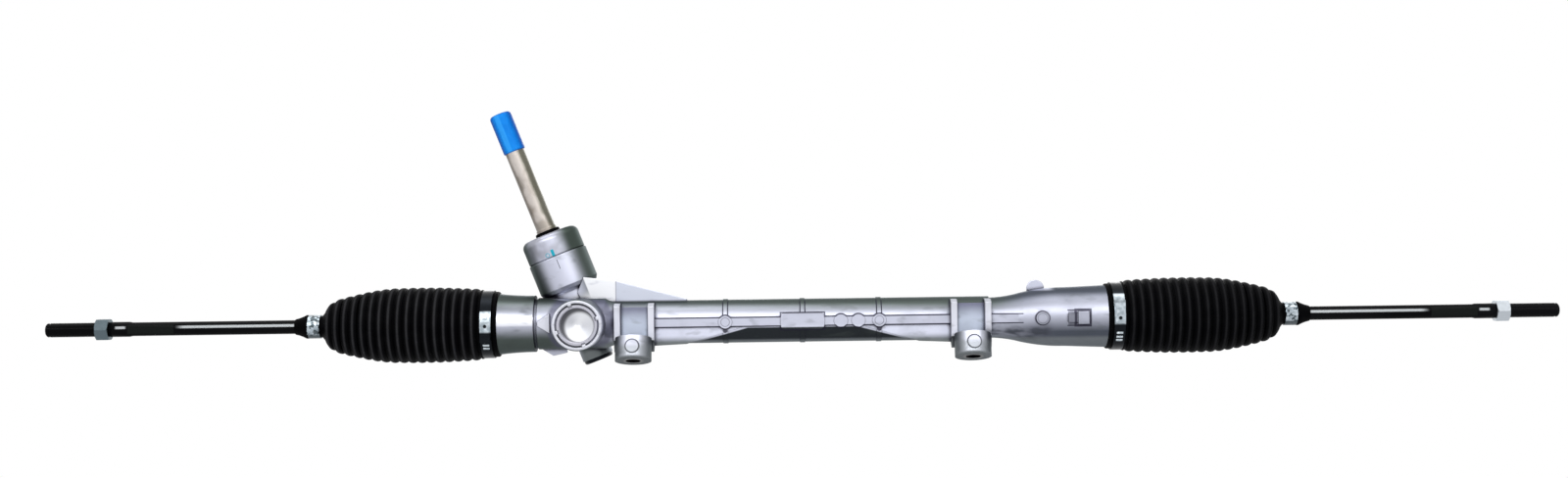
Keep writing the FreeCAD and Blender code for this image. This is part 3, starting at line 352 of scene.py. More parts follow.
def dark_neck_patches(along, up, front, patches):
    """1 in dark, speckled patches on the front of the lower flank of the neck behind the right mount."""
    where = along.between(0.153, 0.200, 0.010) * up.smooth(-0.002, -0.011) * front
    return where * (0.5 + patches.smooth(0.4, 0.65) * 0.45)


# %% The two mounts
MOUNTS = (-0.139, 0.139)
RIB, PAD, BOSS_TOP, MOUNT_BUTTON_UP = (0.0115, 0.0165), 0.0110, 0.0187, 0.0094


def mount_tones(tone, gear_place, ground_place):
    """Painted highlights on rib fronts, a pad painted darker upwards, a boss shaded dark at its sides, a
    button.
    """
    along, back, up = gear_place
    right, behind, high = ground_place
    front = behind.smooth(0.02, 0.015)
    for centre in MOUNTS:
        beside = abs(along - centre)
        # Painted highlight on the front face of each rib.
        rib = beside.between(*RIB, 0.0002) * back.smooth(-0.017, -0.018)
        tone = (rib * 0.8).mix(tone, BRIGHT)
        pad = beside.smooth(PAD + 0.0004, PAD) * back.smooth(-0.0155, -0.0165)
        tone = (pad * 0.85).mix(tone, up.smooth(-0.001, 0.0155).mix(PAD_BLUE, PAD_SHADE))
        # Painted shade: the boss pale in its middle and dark towards its sides.
        boss = high.smooth(BOSS_TOP + 0.0003, BOSS_TOP) * beside.smooth(0.0186, 0.0180)
        tone = boss.mix(tone, beside.smooth(0.004, 0.0160).mix(BOSS_PALE, BOSS_EDGE))
        button = length(right - centre, high - MOUNT_BUTTON_UP)
        tone = (button.smooth(0.0054, 0.0050) * front).mix(tone, BUTTON_GREY)
        tone = (button.near(0.0056, 0.0004) * front * 0.85).mix(tone, NEAR_BLACK)
    return tone


# %% The web plate
PLATE_STEP, PLATE_FOOT = -0.1552, 0.0182


def plate_tones(tone, plate, along, up, patches):
    """A front face painted pale as a highlight, bluer beyond its step, with soft clouds and dark seams."""
    face = along.smooth(-0.1560, -0.1545).mix(PLATE_PALE, PLATE_BLUE)
    tone = plate.mix(tone, (patches.smooth(0.58, 0.7) * 0.3).mix(face, PLATE_CLOUD))
    seam = along.near(PLATE_STEP, 0.00025) + up.near(PLATE_FOOT, LINE)
    return (seam * plate * 0.6).lowest(1).mix(tone, SEAM_GREY)


# %% [markdown]
# ## The casting and its cover
#
# The tones go on in this order: clean metal, painted shade on the edges, painted highlights on the
# turned barrel and on faces that look to the front, raised forms, dark patches and dirt, and at the
# end painted shade in the corners, which an Ambient Occlusion node finds. A Bevel node inside the
# bump lets the sharp CAD edges shine as if they were rounded. Where the mounts stand on the car, the
# underside is oily and hardly shines, and the undersides are painted near black as shade. The cover
# on the tower is turned, so fine grooves run round it, and it carries a dab of paint. Its sides are
# painted dark as shade, and so is this finish below the rack.

# %% Cast aluminium
TURNED_END = (-0.2665, -0.2228)
GUIDE_BOSS, GUIDE_BOSS_END = 0.0214, 0.0459
METAL = 0.85


def cast_aluminium(place):
    along, back, up = in_frame(place, GEAR)
    right, behind, high = in_frame(place, Matrix())
    stem, behind_stem, beside_stem = in_frame(place, PINION)
    out, across, above = in_frame(place, YOKE)
    front = back.smooth(-0.006, -0.011)
    clouds = place.noise(38, 3)
    patches = place.noise(140, 2, (0.4, 1, 1))
    turned = along.between(*TURNED_END, 0.0004)
    tower = tower_body(stem, behind_stem, beside_stem)
    # Painted shade: the upper and lower edges and the tower's sides darkened to a greenish grey.
    film_and_shade = painted_edge_shade(along, back, up, tower, behind_stem, beside_stem)

    # Painted light: the lower flank of the tube, away from the barrels, is painted paler.
    low_side = up.smooth(-0.002, -0.007) * abs(along).smooth(0.2, 0.14)
    shade_tone = along.smooth(0.150, 0.190).mix(EDGE_SHADE, TAIL_SHADE)
    tone = film_and_shade.mix(low_side.mix(LAVENDER, PALE_LAVENDER), shade_tone)
    tone = (turned * patches.smooth(0.45, 0.75) * 0.3).mix(tone, GREEN_GREY)
    # Painted highlight: the band of the turned barrel that the edge shade leaves free is painted near white.
    tone = (turned * film_and_shade.smooth(0.12, 0)).mix(tone, BARREL_HIGHLIGHT)
    tone = (under_band(along, up) * front * abs(along).smooth(0.125, 0.1245)).mix(tone, SHADE)

    around = length(across, above)
    rim = around.smooth(GUIDE_BOSS + 0.0004, GUIDE_BOSS)
    # Painted highlight on the end face of the guide boss.
    boss_end = out.smooth(GUIDE_BOSS_END - 0.0003, GUIDE_BOSS_END) * rim
    tone = (boss_end * 0.85).mix(tone, BRIGHT)
    # Painted shade round the foot of the guide boss, on the front.
    boss_foot = around.between(0.0222, 0.0262, 0.0035) * out.smooth(0.042, 0.034) * front
    tone = (boss_foot * (1 - turned) * (1 - tower) * 0.75).mix(tone, BOSS_FOOT)
    tone = mount_tones(tone, (along, back, up), (right, behind, high))

    # Painted shade: the undersides, which face down, are painted near black.
    low = high.smooth(0.0024, 0.0004)
    tone = low.mix(tone, UNDERSIDE)
    oily = low * abs(abs(right) - MOUNTS[1]).smooth(0.0205, 0.0195)
    tone = dark_neck_patches(along, up, front, patches).mix(tone, PATCH_DARK)
    # Painted shade on the lower boss below the rack.
    foot = stem.smooth(-0.020, -0.026) * up.smooth(-0.014, -0.018)
    tone = (foot * 0.6).mix(tone, FOOT_GREY)
    # Painted highlight on the front face of the small lug left of the guide boss.
    lug = along.between(-0.2195, -0.2085, LINE) * up.between(-0.008, 0.010, 0.0004)
    tone = (lug * back.smooth(-0.0224, -0.0228) * 0.8).mix(tone, BRIGHT)

    # Painted highlight: the front face of the web plate is painted pale.
    plate = web_plate(along, back, up) * (1 - tower)
    tone = plate_tones(tone, plate, along, up, patches)
    dirt = patches.smooth(0.56, 0.72) * 0.25 + clouds.smooth(0.5, 0.8) * 0.2
    tone = (dirt * (1 - plate)).mix(tone, GREEN_GREY)
    # Painted shade in the corners, found by an Ambient Occlusion node.
    tone = (place.hollow(0.0045).smooth(0.12, 0.55) * 0.92).mix(tone, NEAR_BLACK)
    scribe = stem.between(0.049, 0.057, LINE) * beside_stem.near(-0.0012, 0.0002) * front
    lines = (tube_outlines(along, up) + tail_outlines(along, up)) * front + scribe
    tone = (lines.lowest(1) * 0.9).mix(tone, NEAR_BLACK)

    tool_lines = place.noise(2600, 1, (1, 0.02, 0.02))
    height = place.noise(1900, 1) * (1 - turned) + tool_lines * turned * 0.6
    roughness = 0.42 + (clouds - 0.5) * 0.2 - turned * 0.1 + oily * 0.55
    return {"Base Color": tone, "Metallic": METAL * (1 - oily), "Roughness": roughness,
            "Normal": height.bump(0.00006, 0.5, 0.0009)}


cast = finish("cast_aluminium", cast_aluminium, Specular_Tint=(0.5, 0.52, 0.54, 1))


# %% The turned cover
def cover_aluminium(place):
    up, back, left = in_frame(place, PINION)
    clouds = place.noise(60, 2)
    grooves = up.grooves(2400, 1.0)
    tone = clouds.smooth(0.4, 0.7).mix(LAVENDER, (0.36, 0.365, 0.42, 1))
    # Painted shade on the cover's left and right sides.
    sides = (left.smooth(0.010, 0.0235) + left.smooth(-0.003, -0.017)) * back.smooth(0.014, 0.002)
    tone = sides.mix(tone, (0.050, 0.066, 0.057, 1))
    # Painted shade: this finish is darker below the rack.
    tone = up.smooth(-0.010, -0.015).mix(tone, (0.26, 0.28, 0.29, 1))
    front = back.smooth(-0.015, -0.02)
    dab = up.between(0.0608, 0.0662, 0.0002) * left.between(-0.0014, 0.0008, 0.0003) * front
    tone = dab.mix(tone, (0.02, 0.34, 0.45, 1))
    ring = length(left - 0.0045, up - 0.0630).near(0.0016, 0.0003) * front
    tone = (ring * 0.7).mix(tone, (0.05, 0.36, 0.47, 1))
    # Painted shade in the corners, found by an Ambient Occlusion node.
    tone = (place.hollow(0.003).smooth(0.15, 0.6) * 0.9).mix(tone, NEAR_BLACK)
    return {"Base Color": tone, "Roughness": 0.36 + grooves * 0.14,
            "Normal": grooves.bump(0.00005, 0.5, 0.0007)}


cover = finish("turned_cover", cover_aluminium, Metallic=METAL, Specular_Tint=(0.5, 0.52, 0.54, 1))

# %% [markdown]
# ## Rubber and paint
#
# Rubber is nearly black and matt, with a faint bloom, and a grey highlight is painted on its crests,
# fainter on the right boot. How high a place lies on its fold is stored on the boots' vertices as
# "crest", because no sum on the place alone would find it. The tie rods are dipped in gloss black.
# One thin light line is painted along each rod as a highlight and stops at the wrench flats, which
# are a little duller.

# %% Black rubber and gloss black
FLAT_FROM, FLAT_TO = 0.525, 0.563


def rubber(place):
    bloom = place.noise(90, 3)
    tone = bloom.smooth(0.4, 0.75).mix((0.0008, 0.0008, 0.0012, 1), (0.002, 0.002, 0.0024, 1))
    crest_highlight = place.node("ShaderNodeAttribute", {"attribute_name": "crest"}, (), 2)
    along, _, _ = in_frame(place, GEAR)
    # Painted highlight on the crests, fainter on the right boot.
    crest_sheen = crest_highlight * (0.35 + bloom * 0.6) * (1 - along.smooth(-0.1, 0.1) * 0.55)
    tone = crest_sheen.mix(tone, (0.038, 0.038, 0.041, 1))
    return {"Base Color": tone, "Roughness": 0.42 + bloom * 0.25,
            "Normal": place.noise(1500, 1).bump(0.00004, 0.4)}


def gloss_black(place):
    along, back, up = in_frame(place, GEAR)
    drips = place.noise(45, 2, (0.25, 1, 1))
    tone = drips.smooth(0.4, 0.7).mix((0.0025, 0.0025, 0.003, 1), (0.005, 0.005, 0.006, 1))
    # Painted highlight: a thin light line along each rod, a little above its middle.
    streak = up.near(0.0016, 0.0007) * back.smooth(0, -0.003) * (0.7 + drips * 0.2)
    shank = streak * abs(along).smooth(0.524, 0.515) + streak * abs(along).between(0.566, 0.572, 0.002)
    tone = shank.lowest(1).mix(tone, (0.62, 0.65, 0.66, 1))
    flat = abs(along).between(FLAT_FROM, FLAT_TO, 0.0006) * abs(up).smooth(0.0042, 0.0034)
    tone = (flat * 0.8).mix(tone, (0.010, 0.012, 0.011, 1))
    return {"Base Color": tone, "Roughness": 0.12 + drips * 0.14, "Normal": drips.bump(0.0002, 0.2)}


# %% [markdown]
# ## Zinc plate
#
# Clamps and nuts are zinc plated: bright, slightly cloudy and a little blue. The big clamps have
# turned dark round the boots and stay bright on the front only, round a small dark hole, so their
# finish asks how far up and how far back a place is. The small clamps are bright with dark dents,
# and their lower sides are painted dark as shade. The buckles get a cleaner plating.

# %% Zinc and clean zinc
SILVER, PALE_SILVER = (0.36, 0.42, 0.46, 1), (0.62, 0.68, 0.73, 1)
LEFT_NUT, RIGHT_NUT = (0.12, 0.155, 0.175, 1), (0.54, 0.58, 0.62, 1)
HOLE_OUT, HOLE_DOWN = 0.2613, 0.0005


def zinc(place):
    along, back, up = in_frame(place, GEAR)
    spangle = place.noise(260, 3)
    tone = spangle.smooth(0.35, 0.7).mix(SILVER, PALE_SILVER)
    tone = along.smooth(-0.5, -0.55).mix(tone, LEFT_NUT)
    tone = along.smooth(0.5, 0.55).mix(tone, RIGHT_NUT)
    big_band = length(back, up).smooth(0.0225, 0.0235) * abs(along).smooth(0.3, 0.29)
    upper = along.smooth(0, 0.1) * up.between(0.0105, 0.018, 0.002) * 0.7
    bright = up.between(-0.0045, 0.0105, 0.002) + upper
    hole = length(abs(along) - HOLE_OUT, up + HOLE_DOWN).smooth(0.0018, 0.0012)
    dull = 1 - bright * back.smooth(0, -0.008) * (1 - hole)
    tone = (big_band * dull).mix(tone, (0.012, 0.014, 0.017, 1))
    small_band = abs(along).between(0.395, 0.420, 0.002)
    # Dark dents, and painted shade on the lower side of the small clamps.
    dents_and_shade = place.noise(330, 1).smooth(0.50, 0.58) + up.smooth(-0.004, -0.008)
    tone = (small_band * dents_and_shade.lowest(1) * 0.85).mix(tone, (0.018, 0.030, 0.034, 1))
    return {"Base Color": tone, "Roughness": 0.20 + spangle * 0.25,
            "Normal": place.noise(1300, 1).bump(0.00005, 0.4)}


def clean_zinc(place):
    spangle = place.noise(260, 3)
    tone = spangle.smooth(0.35, 0.7).mix((0.45, 0.51, 0.55, 1), (0.72, 0.78, 0.82, 1))
    return {"Base Color": tone, "Roughness": 0.22 + spangle * 0.2,
            "Normal": place.noise(1300, 1).bump(0.00005, 0.4)}


# %% [markdown]
# ## The shaft, its cap and the adjuster plug
#
# The shaft still carries its warm film of preserving oil, which lies in streaks, and its left and
# right sides are painted darker as shade. The serrations at its end are drawn by a sine round the
# shaft, with painted shade in their valleys. Its cap is soft blue vinyl, with a painted highlight
# stripe and painted shade towards the rims. The plug's floor was faced on a lathe, and the two
# opposite fans of light that such a floor throws back are painted by a cosine of the angle, without
# asking where the lamp is.

# %% Oiled steel and blue vinyl
SERRATIONS, SERRATED_FROM, SERRATION_GROOVE = 36, 0.1615, (0.1655, 0.1745)


def oiled(place):
    up, back, left = in_frame(place, PINION)
    film_and_shade = place.noise(75, 4, (1, 1, 0.45))
    stain = place.noise(26, 3)
    tone = film_and_shade.smooth(0.42, 0.66).mix((0.56, 0.51, 0.47, 1), (0.37, 0.32, 0.28, 1))
    tone = (stain.smooth(0.52, 0.62) * 0.5).mix(tone, (0.16, 0.13, 0.09, 1))
    # Painted shade: the shaft darker towards its left and right sides, with wandering edges.
    wander = left + (stain - 0.5) * 0.012
    tone = (wander.smooth(-0.0012, -0.0052) * 0.88).mix(tone, (0.055, 0.056, 0.026, 1))
    tone = (wander.smooth(0.0046, 0.0078) * 0.7).mix(tone, (0.085, 0.07, 0.05, 1))
    serrated = up.smooth(SERRATED_FROM - 0.001, SERRATED_FROM)
    wave = (back.math("ARCTAN2", left) * SERRATIONS).math("SINE")
    teeth = wave * serrated * (1 - up.between(*SERRATION_GROOVE, 0.0003))
    # Painted shade in the valleys between the serrations.
    tone = (teeth.smooth(0.2, -0.8) * serrated * 0.6).mix(tone, (0.06, 0.05, 0.035, 1))
    height = film_and_shade * 0.0003 + teeth * 0.0004
    return {"Base Color": tone, "Roughness": 0.28 + film_and_shade * 0.3, "Normal": height.bump(1.0, 0.6)}


def vinyl(place):
    up, back, left = in_frame(place, PINION)
    haze = place.noise(110, 2)
    tone = haze.smooth(0.25, 0.8).mix((0.003, 0.20, 0.70, 1), (0.008, 0.26, 0.82, 1))
    # Painted highlight: a lighter stripe along the cap.
    tone = (left.near(0.0025, 0.0014) * 0.6).mix(tone, (0.04, 0.38, 0.92, 1))
    # Painted shade towards the cap's sides and ends.
    ends = up.smooth(0.1872, 0.1898) * 0.6 + up.smooth(0.1568, 0.1556) * 0.6
    rim = abs(left).smooth(0.0045, 0.0092) + ends
    tone = (rim.lowest(1) * back.smooth(0.009, 0.001) * 0.85).mix(tone, (0.001, 0.066, 0.36, 1))
    return {"Base Color": tone, "Roughness": 0.30 + haze * 0.2, "Normal": haze.bump(0.0001, 0.25)}


# %% The plug's face
PLUG_FLOOR, FAN_TURN = 0.0139, 0.9


def plug_face(place):
    _, across, high = in_frame(place, YOKE)
    radius = length(across, high)
    grooves = radius.grooves(1800, 2.0)
    turn = high.math("ARCTAN2", across)
    # Painted highlight: two opposite fans of light on the turned floor.
    fan = ((turn * 2 + FAN_TURN).math("COSINE") * 0.5 + 0.5) * radius.smooth(0.001, 0.005)
    floor = radius.smooth(PLUG_FLOOR + 0.0002, PLUG_FLOOR)
    tone = (fan * 0.75 + grooves * 0.25).mix((0.88, 0.89, 0.92, 1), (0.54, 0.55, 0.59, 1))
    shadow = length(across - 0.0018, high + 0.0014).smooth(0.0105, 0.0137)
    tone = (shadow * floor * 0.9).mix(tone, (0.045, 0.045, 0.055, 1))
    tone = (1 - floor).mix(tone, (0.50, 0.50, 0.56, 1))
    # Painted shade in the corners, found by an Ambient Occlusion node.
    tone = (place.hollow(0.003).smooth(0.2, 0.6) * 0.7).mix(tone, NEAR_BLACK)
    return {"Base Color": tone, "Roughness": 0.30 + grooves * 0.16, "Normal": grooves.bump(0.00008, 0.6)}


# %% [markdown]
# ## Finishes of the hidden pieces, and the table of all finishes
#
# Bearings, bar and springs are ground steel, with fine lines round the bar, and the ball seats are an
# ivory plastic. They lie inside, but a rack that is drawn out or taken apart shows them. The table
# below gives each material slot of the record its finish.

# %% Ground steel, plastic and the table
def ground(place):
    lines = place.noise(900, 1, (1, 0.05, 0.05))
    tone = lines.mix((0.34, 0.34, 0.35, 1), (0.52, 0.52, 0.54, 1))
    return {"Base Color": tone, "Roughness": 0.18 + lines * 0.15, "Normal": lines.bump(0.00003, 0.4)}


def seat_plastic(place):
    haze = place.noise(200, 2)
    tone = haze.mix((0.62, 0.59, 0.50, 1), (0.72, 0.70, 0.62, 1))
    return {"Base Color": tone, "Roughness": 0.4 + haze * 0.15}


bright_zinc = finish("clean_zinc", clean_zinc, Metallic=1.0)
FINISHES = {
    "cast_aluminium": cast,
    "turned_aluminium": cover,
    "black_rubber": finish("black_rubber", rubber, Specular_IOR_Level=0.02),
    "black_steel": finish("gloss_black", gloss_black, Specular_IOR_Level=0.03),
    "zinc_steel": finish("zinc_plate", zinc, Metallic=1.0),
    "oiled_steel": finish("oiled_steel", oiled, Metallic=0.55, Coat_Weight=0.4, Coat_Roughness=0.15),
    "blue_vinyl": finish("blue_vinyl", vinyl, Specular_IOR_Level=0.08),
    "ground_steel": finish("ground_steel", ground, Metallic=1.0),
    "plug_aluminium": finish("plug_face", plug_face, Metallic=0.95),
    "seat_plastic": finish("seat_plastic", seat_plastic),
}

# %% [markdown]
# ## Dressing the CAD solids
#
# The packed record says which slot each node belongs to, so the finishes go on with one loop.

# %% Finishes onto the nodes
slot_of = {piece["node"]: piece["material_slot"] for piece in frame["record"]["subparts"]}
for node, solid in frame["nodes"].items():
    solid.data.materials.clear()
    solid.data.materials.append(FINISHES[slot_of[node]])
print("dressed", len(slot_of), "nodes")

# %% [markdown]
# ## Turned pieces
#
# Boots and tie rods are bodies of revolution. `lathe` takes the line of a half section, drawn
# outwards along +X, and spins it about that axis. Where a corner should be soft, a bevel on the spun
# ring edges would be costly, so the line itself already carries the roundness.

# %% Helpers for turned pieces
def put(mesh, name, place, slot):
    """Turns a finished bmesh into an object at the origin, with its place in its mesh."""
    bmesh.ops.remove_doubles(mesh, verts=mesh.verts, dist=1e-6)
    bmesh.ops.recalc_face_normals(mesh, faces=mesh.faces)
    bmesh.ops.transform(mesh, matrix=place, verts=mesh.verts)
    data = bpy.data.meshes.new(name)
    mesh.to_mesh(data)
    mesh.free()
    data.shade_smooth()
    made = bpy.data.objects.new(name, data)
    bpy.context.collection.objects.link(made)
    data.materials.append(FINISHES[slot])
    print(name, "has", len(data.polygons), "faces")
    return made


def lathe(outline, steps):
    """Spins a line of (x, radius) points, in millimetres, about the X axis."""
    mesh = bmesh.new()
    rim = [mesh.verts.new((x * MM, 0, radius * MM)) for x, radius in outline]
    line = [mesh.edges.new(pair) for pair in zip(rim, rim[1:])]
    bmesh.ops.spin(mesh, geom=rim + line, cent=(0, 0, 0), axis=(1, 0, 0), angle=math.tau, steps=steps,
                   use_merge=True)
    bmesh.ops.remove_doubles(mesh, verts=mesh.verts, dist=1e-7)
    return mesh


# %% [markdown]
# ## The rubber boots
#
# A steering boot is a bellows: seventeen folds between the clamp on the housing and the neck on the
# tie rod. Its crests follow a barrel shape that falls away over the last six folds. When the rack
# slides, the boot is pressed together, and when the rod swings on its ball, the boot bends. The boot
# is cut at two valleys: the first stretch goes from the housing to the rack, the second to the ball
# seat and the third to the rod.

# %% The boots' crests and folds
CREST_LINE = ((268, 29.7), (280, 30.5), (300, 31.4), (322, 31.6), (342, 31.2), (352, 30.3), (361, 28.8),
              (370, 26.9), (380, 24.6), (388, 22.4), (394, 19.0), (399, 13.4))
FOLD_START, FOLD_END, FOLDS = 268.6, 397.6, 17
FOLD_PITCH = (FOLD_END - FOLD_START) / FOLDS
FOLD_DEPTH, FOLD_ROUNDNESS, POINTS_PER_FOLD = 2.8, 0.42, 14
SHALLOW_FROM, SHALLOW_LOSS = 380, 0.4 / 20


def crest(x):
    """The radius of the line over all crests at x."""
    for (x_a, r_a), (x_b, r_b) in zip(CREST_LINE, CREST_LINE[1:]):
        if x <= x_b:
            return r_a + (r_b - r_a) * max(0, x - x_a) / (x_b - x_a)
    return CREST_LINE[-1][1]


def fold_radius(x):
    """The boot's radius at x: round crests, narrow valleys, and shallower folds near the neck."""
    phase = (x - FOLD_START) / FOLD_PITCH
    wave = abs(math.sin(math.pi * phase)) ** FOLD_ROUNDNESS
    depth = FOLD_DEPTH * (1 - SHALLOW_LOSS * max(0, x - SHALLOW_FROM))
    return crest(x) - depth * (1 - wave)


def fold_edge(number):
    return FOLD_START + FOLD_PITCH * number


print("folds every", round(FOLD_PITCH, 2), "mm")


# %% The boots' three stretches
def boot_line(start, end):
    """Points of the half section from one x to another."""
    count = round((end - start) / FOLD_PITCH * POINTS_PER_FOLD)
    steps = [start + (end - start) * i / count for i in range(count + 1)]
    return [(x, fold_radius(x)) for x in steps]


RACK_FOLD, SEAT_FOLD = fold_edge(13), fold_edge(15)
HELD_END = [(252.6, 24.7), (252.4, 26.3), (253.2, 27.2), (255.9, 27.3), (256.4, 26.6), (256.8, 27.3),
            (265.6, 27.3), (266.2, 28.6), (267.3, 29.0), (268.2, 27.0)]
NECK_END = [(399.6, 10.6), (401.2, 8.9), (402.2, 8.85), (412.6, 8.85), (413.0, 9.9), (414.4, 9.9),
            (416.8, 8.7), (420.4, 7.3), (423.6, 6.5), (423.8, 5.9)]
STRETCHES = (
    ("inner", HELD_END + boot_line(FOLD_START, RACK_FOLD), "housing", "rack"),
    ("middle", boot_line(RACK_FOLD, SEAT_FOLD), "rack", "{side}_seat"),
    ("outer", boot_line(SEAT_FOLD, FOLD_END) + NECK_END, "{side}_seat", "{side}_rod"),
)
BLEND_FROM = {"inner": 267, "middle": RACK_FOLD, "outer": SEAT_FOLD}
BLEND_TO = {"inner": RACK_FOLD, "middle": SEAT_FOLD, "outer": 401}
print("cut at", round(RACK_FOLD, 1), "and", round(SEAT_FOLD, 1), "mm from the middle of the rack")

# %% Both boots
WALL, CREST_HIGHLIGHT_DEPTH = 1.2, 0.16

for side, where in SIDES.items():
    for stretch, line, first, second in STRETCHES:
        mesh = lathe(line, 96)
        crest_highlight = mesh.verts.layers.float.new("crest")
        for vert in mesh.verts:
            x, radius = vert.co.x / MM, math.hypot(vert.co.y, vert.co.z) / MM
            # How near its crest each vertex lies, for the painted crest highlight.
            if FOLD_START < x < FOLD_END:
                vert[crest_highlight] = max(0, 1 - (crest(x) - radius) / CREST_HIGHLIGHT_DEPTH)
        boot = put(mesh, f"{side}_boot_{stretch}", where, "black_rubber")
        wall = boot.modifiers.new("wall", "SOLIDIFY")
        wall.thickness = WALL * MM
        wall.offset = -1
        with_modifier = bpy.context.evaluated_depsgraph_get()
        data = bpy.data.meshes.new_from_object(boot.evaluated_get(with_modifier))
        boot.modifiers.clear()
        boot.data = data
        where @ Vector((BLEND_FROM[stretch] * MM, 0, 0))
        where @ Vector((BLEND_TO[stretch] * MM, 0, 0))
        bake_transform(boot)
        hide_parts(f"{side}_boot")

# %% [markdown]
# ## Tie rods with rolled threads
#
# The CAD rod ends in a plain cylinder at the thread's outer size. Here the rod is turned again and
# its last stretch carries the real M12 x 1.25 form: a short line of one thread is spun along a helix,
# which a lathe does too. The two wrench flats are made by pressing the rod's sides in.

# %% The tie rods
THREAD_FROM, THREAD_TO, THREAD_PITCH = 579.5, 630.6, 1.25
THREAD_CORE, THREAD_CREST, THREAD_STEPS = 5.32, 5.95, 20
ROD_LINE = [(305.5, 0), (306.5, 4.5), (310, 8.6), (316.5, 11.4), (322, 9.9), (325.5, 7), (327.2, 5), (342, 5),
            (347, 5.75), (415, 5.75), (560, 5.75), (562.4, 6.3), (578, 6.35), (579, 5.6), (579.5, 5.3)]
TIP_LINE = [(THREAD_FROM, 5.34), (629.6, 5.34), (630.4, 5.9), (631.2, 5.6), (632, 4.8), (632, 0)]
FLAT_HALF, LONG_EDGE = 5.0 * MM, 80 * MM


def thread():
    """One pitch of thread, spun along its helix from end to end."""
    mesh = bmesh.new()
    line = [(0, THREAD_CORE), (0.5, THREAD_CREST), (0.75, THREAD_CREST), (THREAD_PITCH, THREAD_CORE)]
    rim = [mesh.verts.new(((THREAD_FROM + x) * MM, 0, radius * MM)) for x, radius in line]
    edges = [mesh.edges.new(pair) for pair in zip(rim, rim[1:])]
    turns = int((THREAD_TO - THREAD_FROM) / THREAD_PITCH) - 1
    bmesh.ops.spin(mesh, geom=rim + edges, cent=(0, 0, 0), axis=(1, 0, 0), angle=math.tau * turns,
                   steps=THREAD_STEPS * turns, dvec=(THREAD_PITCH / THREAD_STEPS * MM, 0, 0))
    return mesh


for side, where in SIDES.items():
    mesh = lathe(ROD_LINE, 48)
    long_edges = [edge for edge in mesh.edges if edge.calc_length() > LONG_EDGE]
    bmesh.ops.subdivide_edges(mesh, edges=long_edges, cuts=6)
    for vert in mesh.verts:
        if FLAT_FROM < vert.co.x < FLAT_TO:
            vert.co.y = max(-FLAT_HALF, min(FLAT_HALF, vert.co.y))
    rod = put(mesh, f"{side}_rod_shank", where, "black_steel")
    ridge = put(thread(), f"{side}_rod_thread", where, "black_steel")
    tip = put(lathe(TIP_LINE, 40), f"{side}_rod_tip", where, "black_steel")
    for piece in (rod, ridge, tip):
        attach(piece, f"{side}_rod")
        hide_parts(f"{side}_tie_rod")

# %% [markdown]
# ## Clamp buckles and stake marks
#
# Each boot's big clamp is a steel band with a raised buckle at the front, a small square lock on it
# and three tabs below. A sector of a ring is made by drawing its section as one face and spinning
# that face part of the way round. The same sector, four times, makes the places where the boss's rim
# is punched over the adjuster plug to lock it.

# %% Sectors of rings
def sector(mesh, x, radius, angles, steps=10):
    """Adds a block between two x, two radii and two angles, in millimetres and degrees."""
    turn = Matrix.Rotation(math.radians(angles[0]), 4, "X")
    corners = [(x[0], radius[0]), (x[1], radius[0]), (x[1], radius[1]), (x[0], radius[1])]
    verts = [mesh.verts.new(turn @ Vector((a * MM, -r * MM, 0))) for a, r in corners]
    face = mesh.faces.new(verts)
    bmesh.ops.spin(mesh, geom=verts + list(face.edges) + [face], cent=(0, 0, 0), axis=(1, 0, 0),
                   angle=math.radians(angles[1] - angles[0]), steps=steps)


def soften(mesh, width):
    sharp = [edge for edge in mesh.edges if edge.is_manifold and edge.calc_face_angle() > 1]
    bmesh.ops.bevel(mesh, geom=sharp, offset=width * MM, affect="EDGES", segments=2, profile=0.5, material=-1)


# %% Buckles and stakes
BUCKLE, TAB, LOCK = (257.4, 265.2), (258.6, 264.0), (259.6, 263.0)
BAND_TOP, TAB_TOP, BUCKLE_TOP, LOCK_TOP = 28.0, 28.9, 29.3, 30.2
TAB_STARTS, STAKE_TURNS, STAKE_HALF = (-29, -37, -44), (19, 109, 199, 289), 5
STAKE_OUT, STAKE_RADIUS = (45.2, 46.1), (16.6, 18.6)

for side, where in SIDES.items():
    up = 1 if side == "left" else -1
    mesh = bmesh.new()
    sector(mesh, BUCKLE, (BAND_TOP, BUCKLE_TOP), (-10 * up, 22 * up))
    for low in TAB_STARTS:
        sector(mesh, TAB, (BAND_TOP, TAB_TOP), (low * up, (low + 4) * up), 3)
    sector(mesh, LOCK, (BAND_TOP, LOCK_TOP), (10 * up, 16 * up), 3)
    soften(mesh, 0.3)
    buckle = put(mesh, f"{side}_clamp_buckle", where, "zinc_steel")
    buckle.data.materials[0] = bright_zinc
    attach(buckle, "housing")

mesh = bmesh.new()
for turn in STAKE_TURNS:
    sector(mesh, STAKE_OUT, STAKE_RADIUS, (turn - STAKE_HALF, turn + STAKE_HALF), 4)
soften(mesh, 0.25)
stakes = put(mesh, "stake_marks", YOKE, "cast_aluminium")
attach(stakes, "housing")

# %% [markdown]
# ## Floor, light and camera
#
# The rack is held just above a pale floor, as high as its tie rods need to swing down without
# touching it. The photograph is taken from sixteen degrees below the rack's own level, so the floor
# is drawn on its upper side only, and the camera looks through it. Seen from above, the floor glows a
# little, and more with distance, so that it meets the white world without a line, while near the rack
# its shadow stays. The lamps are large and soft, and the world shows white to the camera and in
# reflections.

# %% The floor
def blend(tree, amount, first, second):
    """A Mix Shader node: first where amount is 0, second where it is 1."""
    both = tree.nodes.new("ShaderNodeMixShader")
    for socket, link in zip(both.inputs, (amount, first, second)):
        tree.links.new(link, socket)
    return both.outputs[0]


def seen(tree):
    """1 for the camera, and for what metal and glass show of the room."""
    path = tree.nodes.new("ShaderNodeLightPath")
    rays = [Wire(path.outputs[f"Is {kind} Ray"]) for kind in ("Camera", "Glossy", "Transmission")]
    return sum(rays).lowest(1)


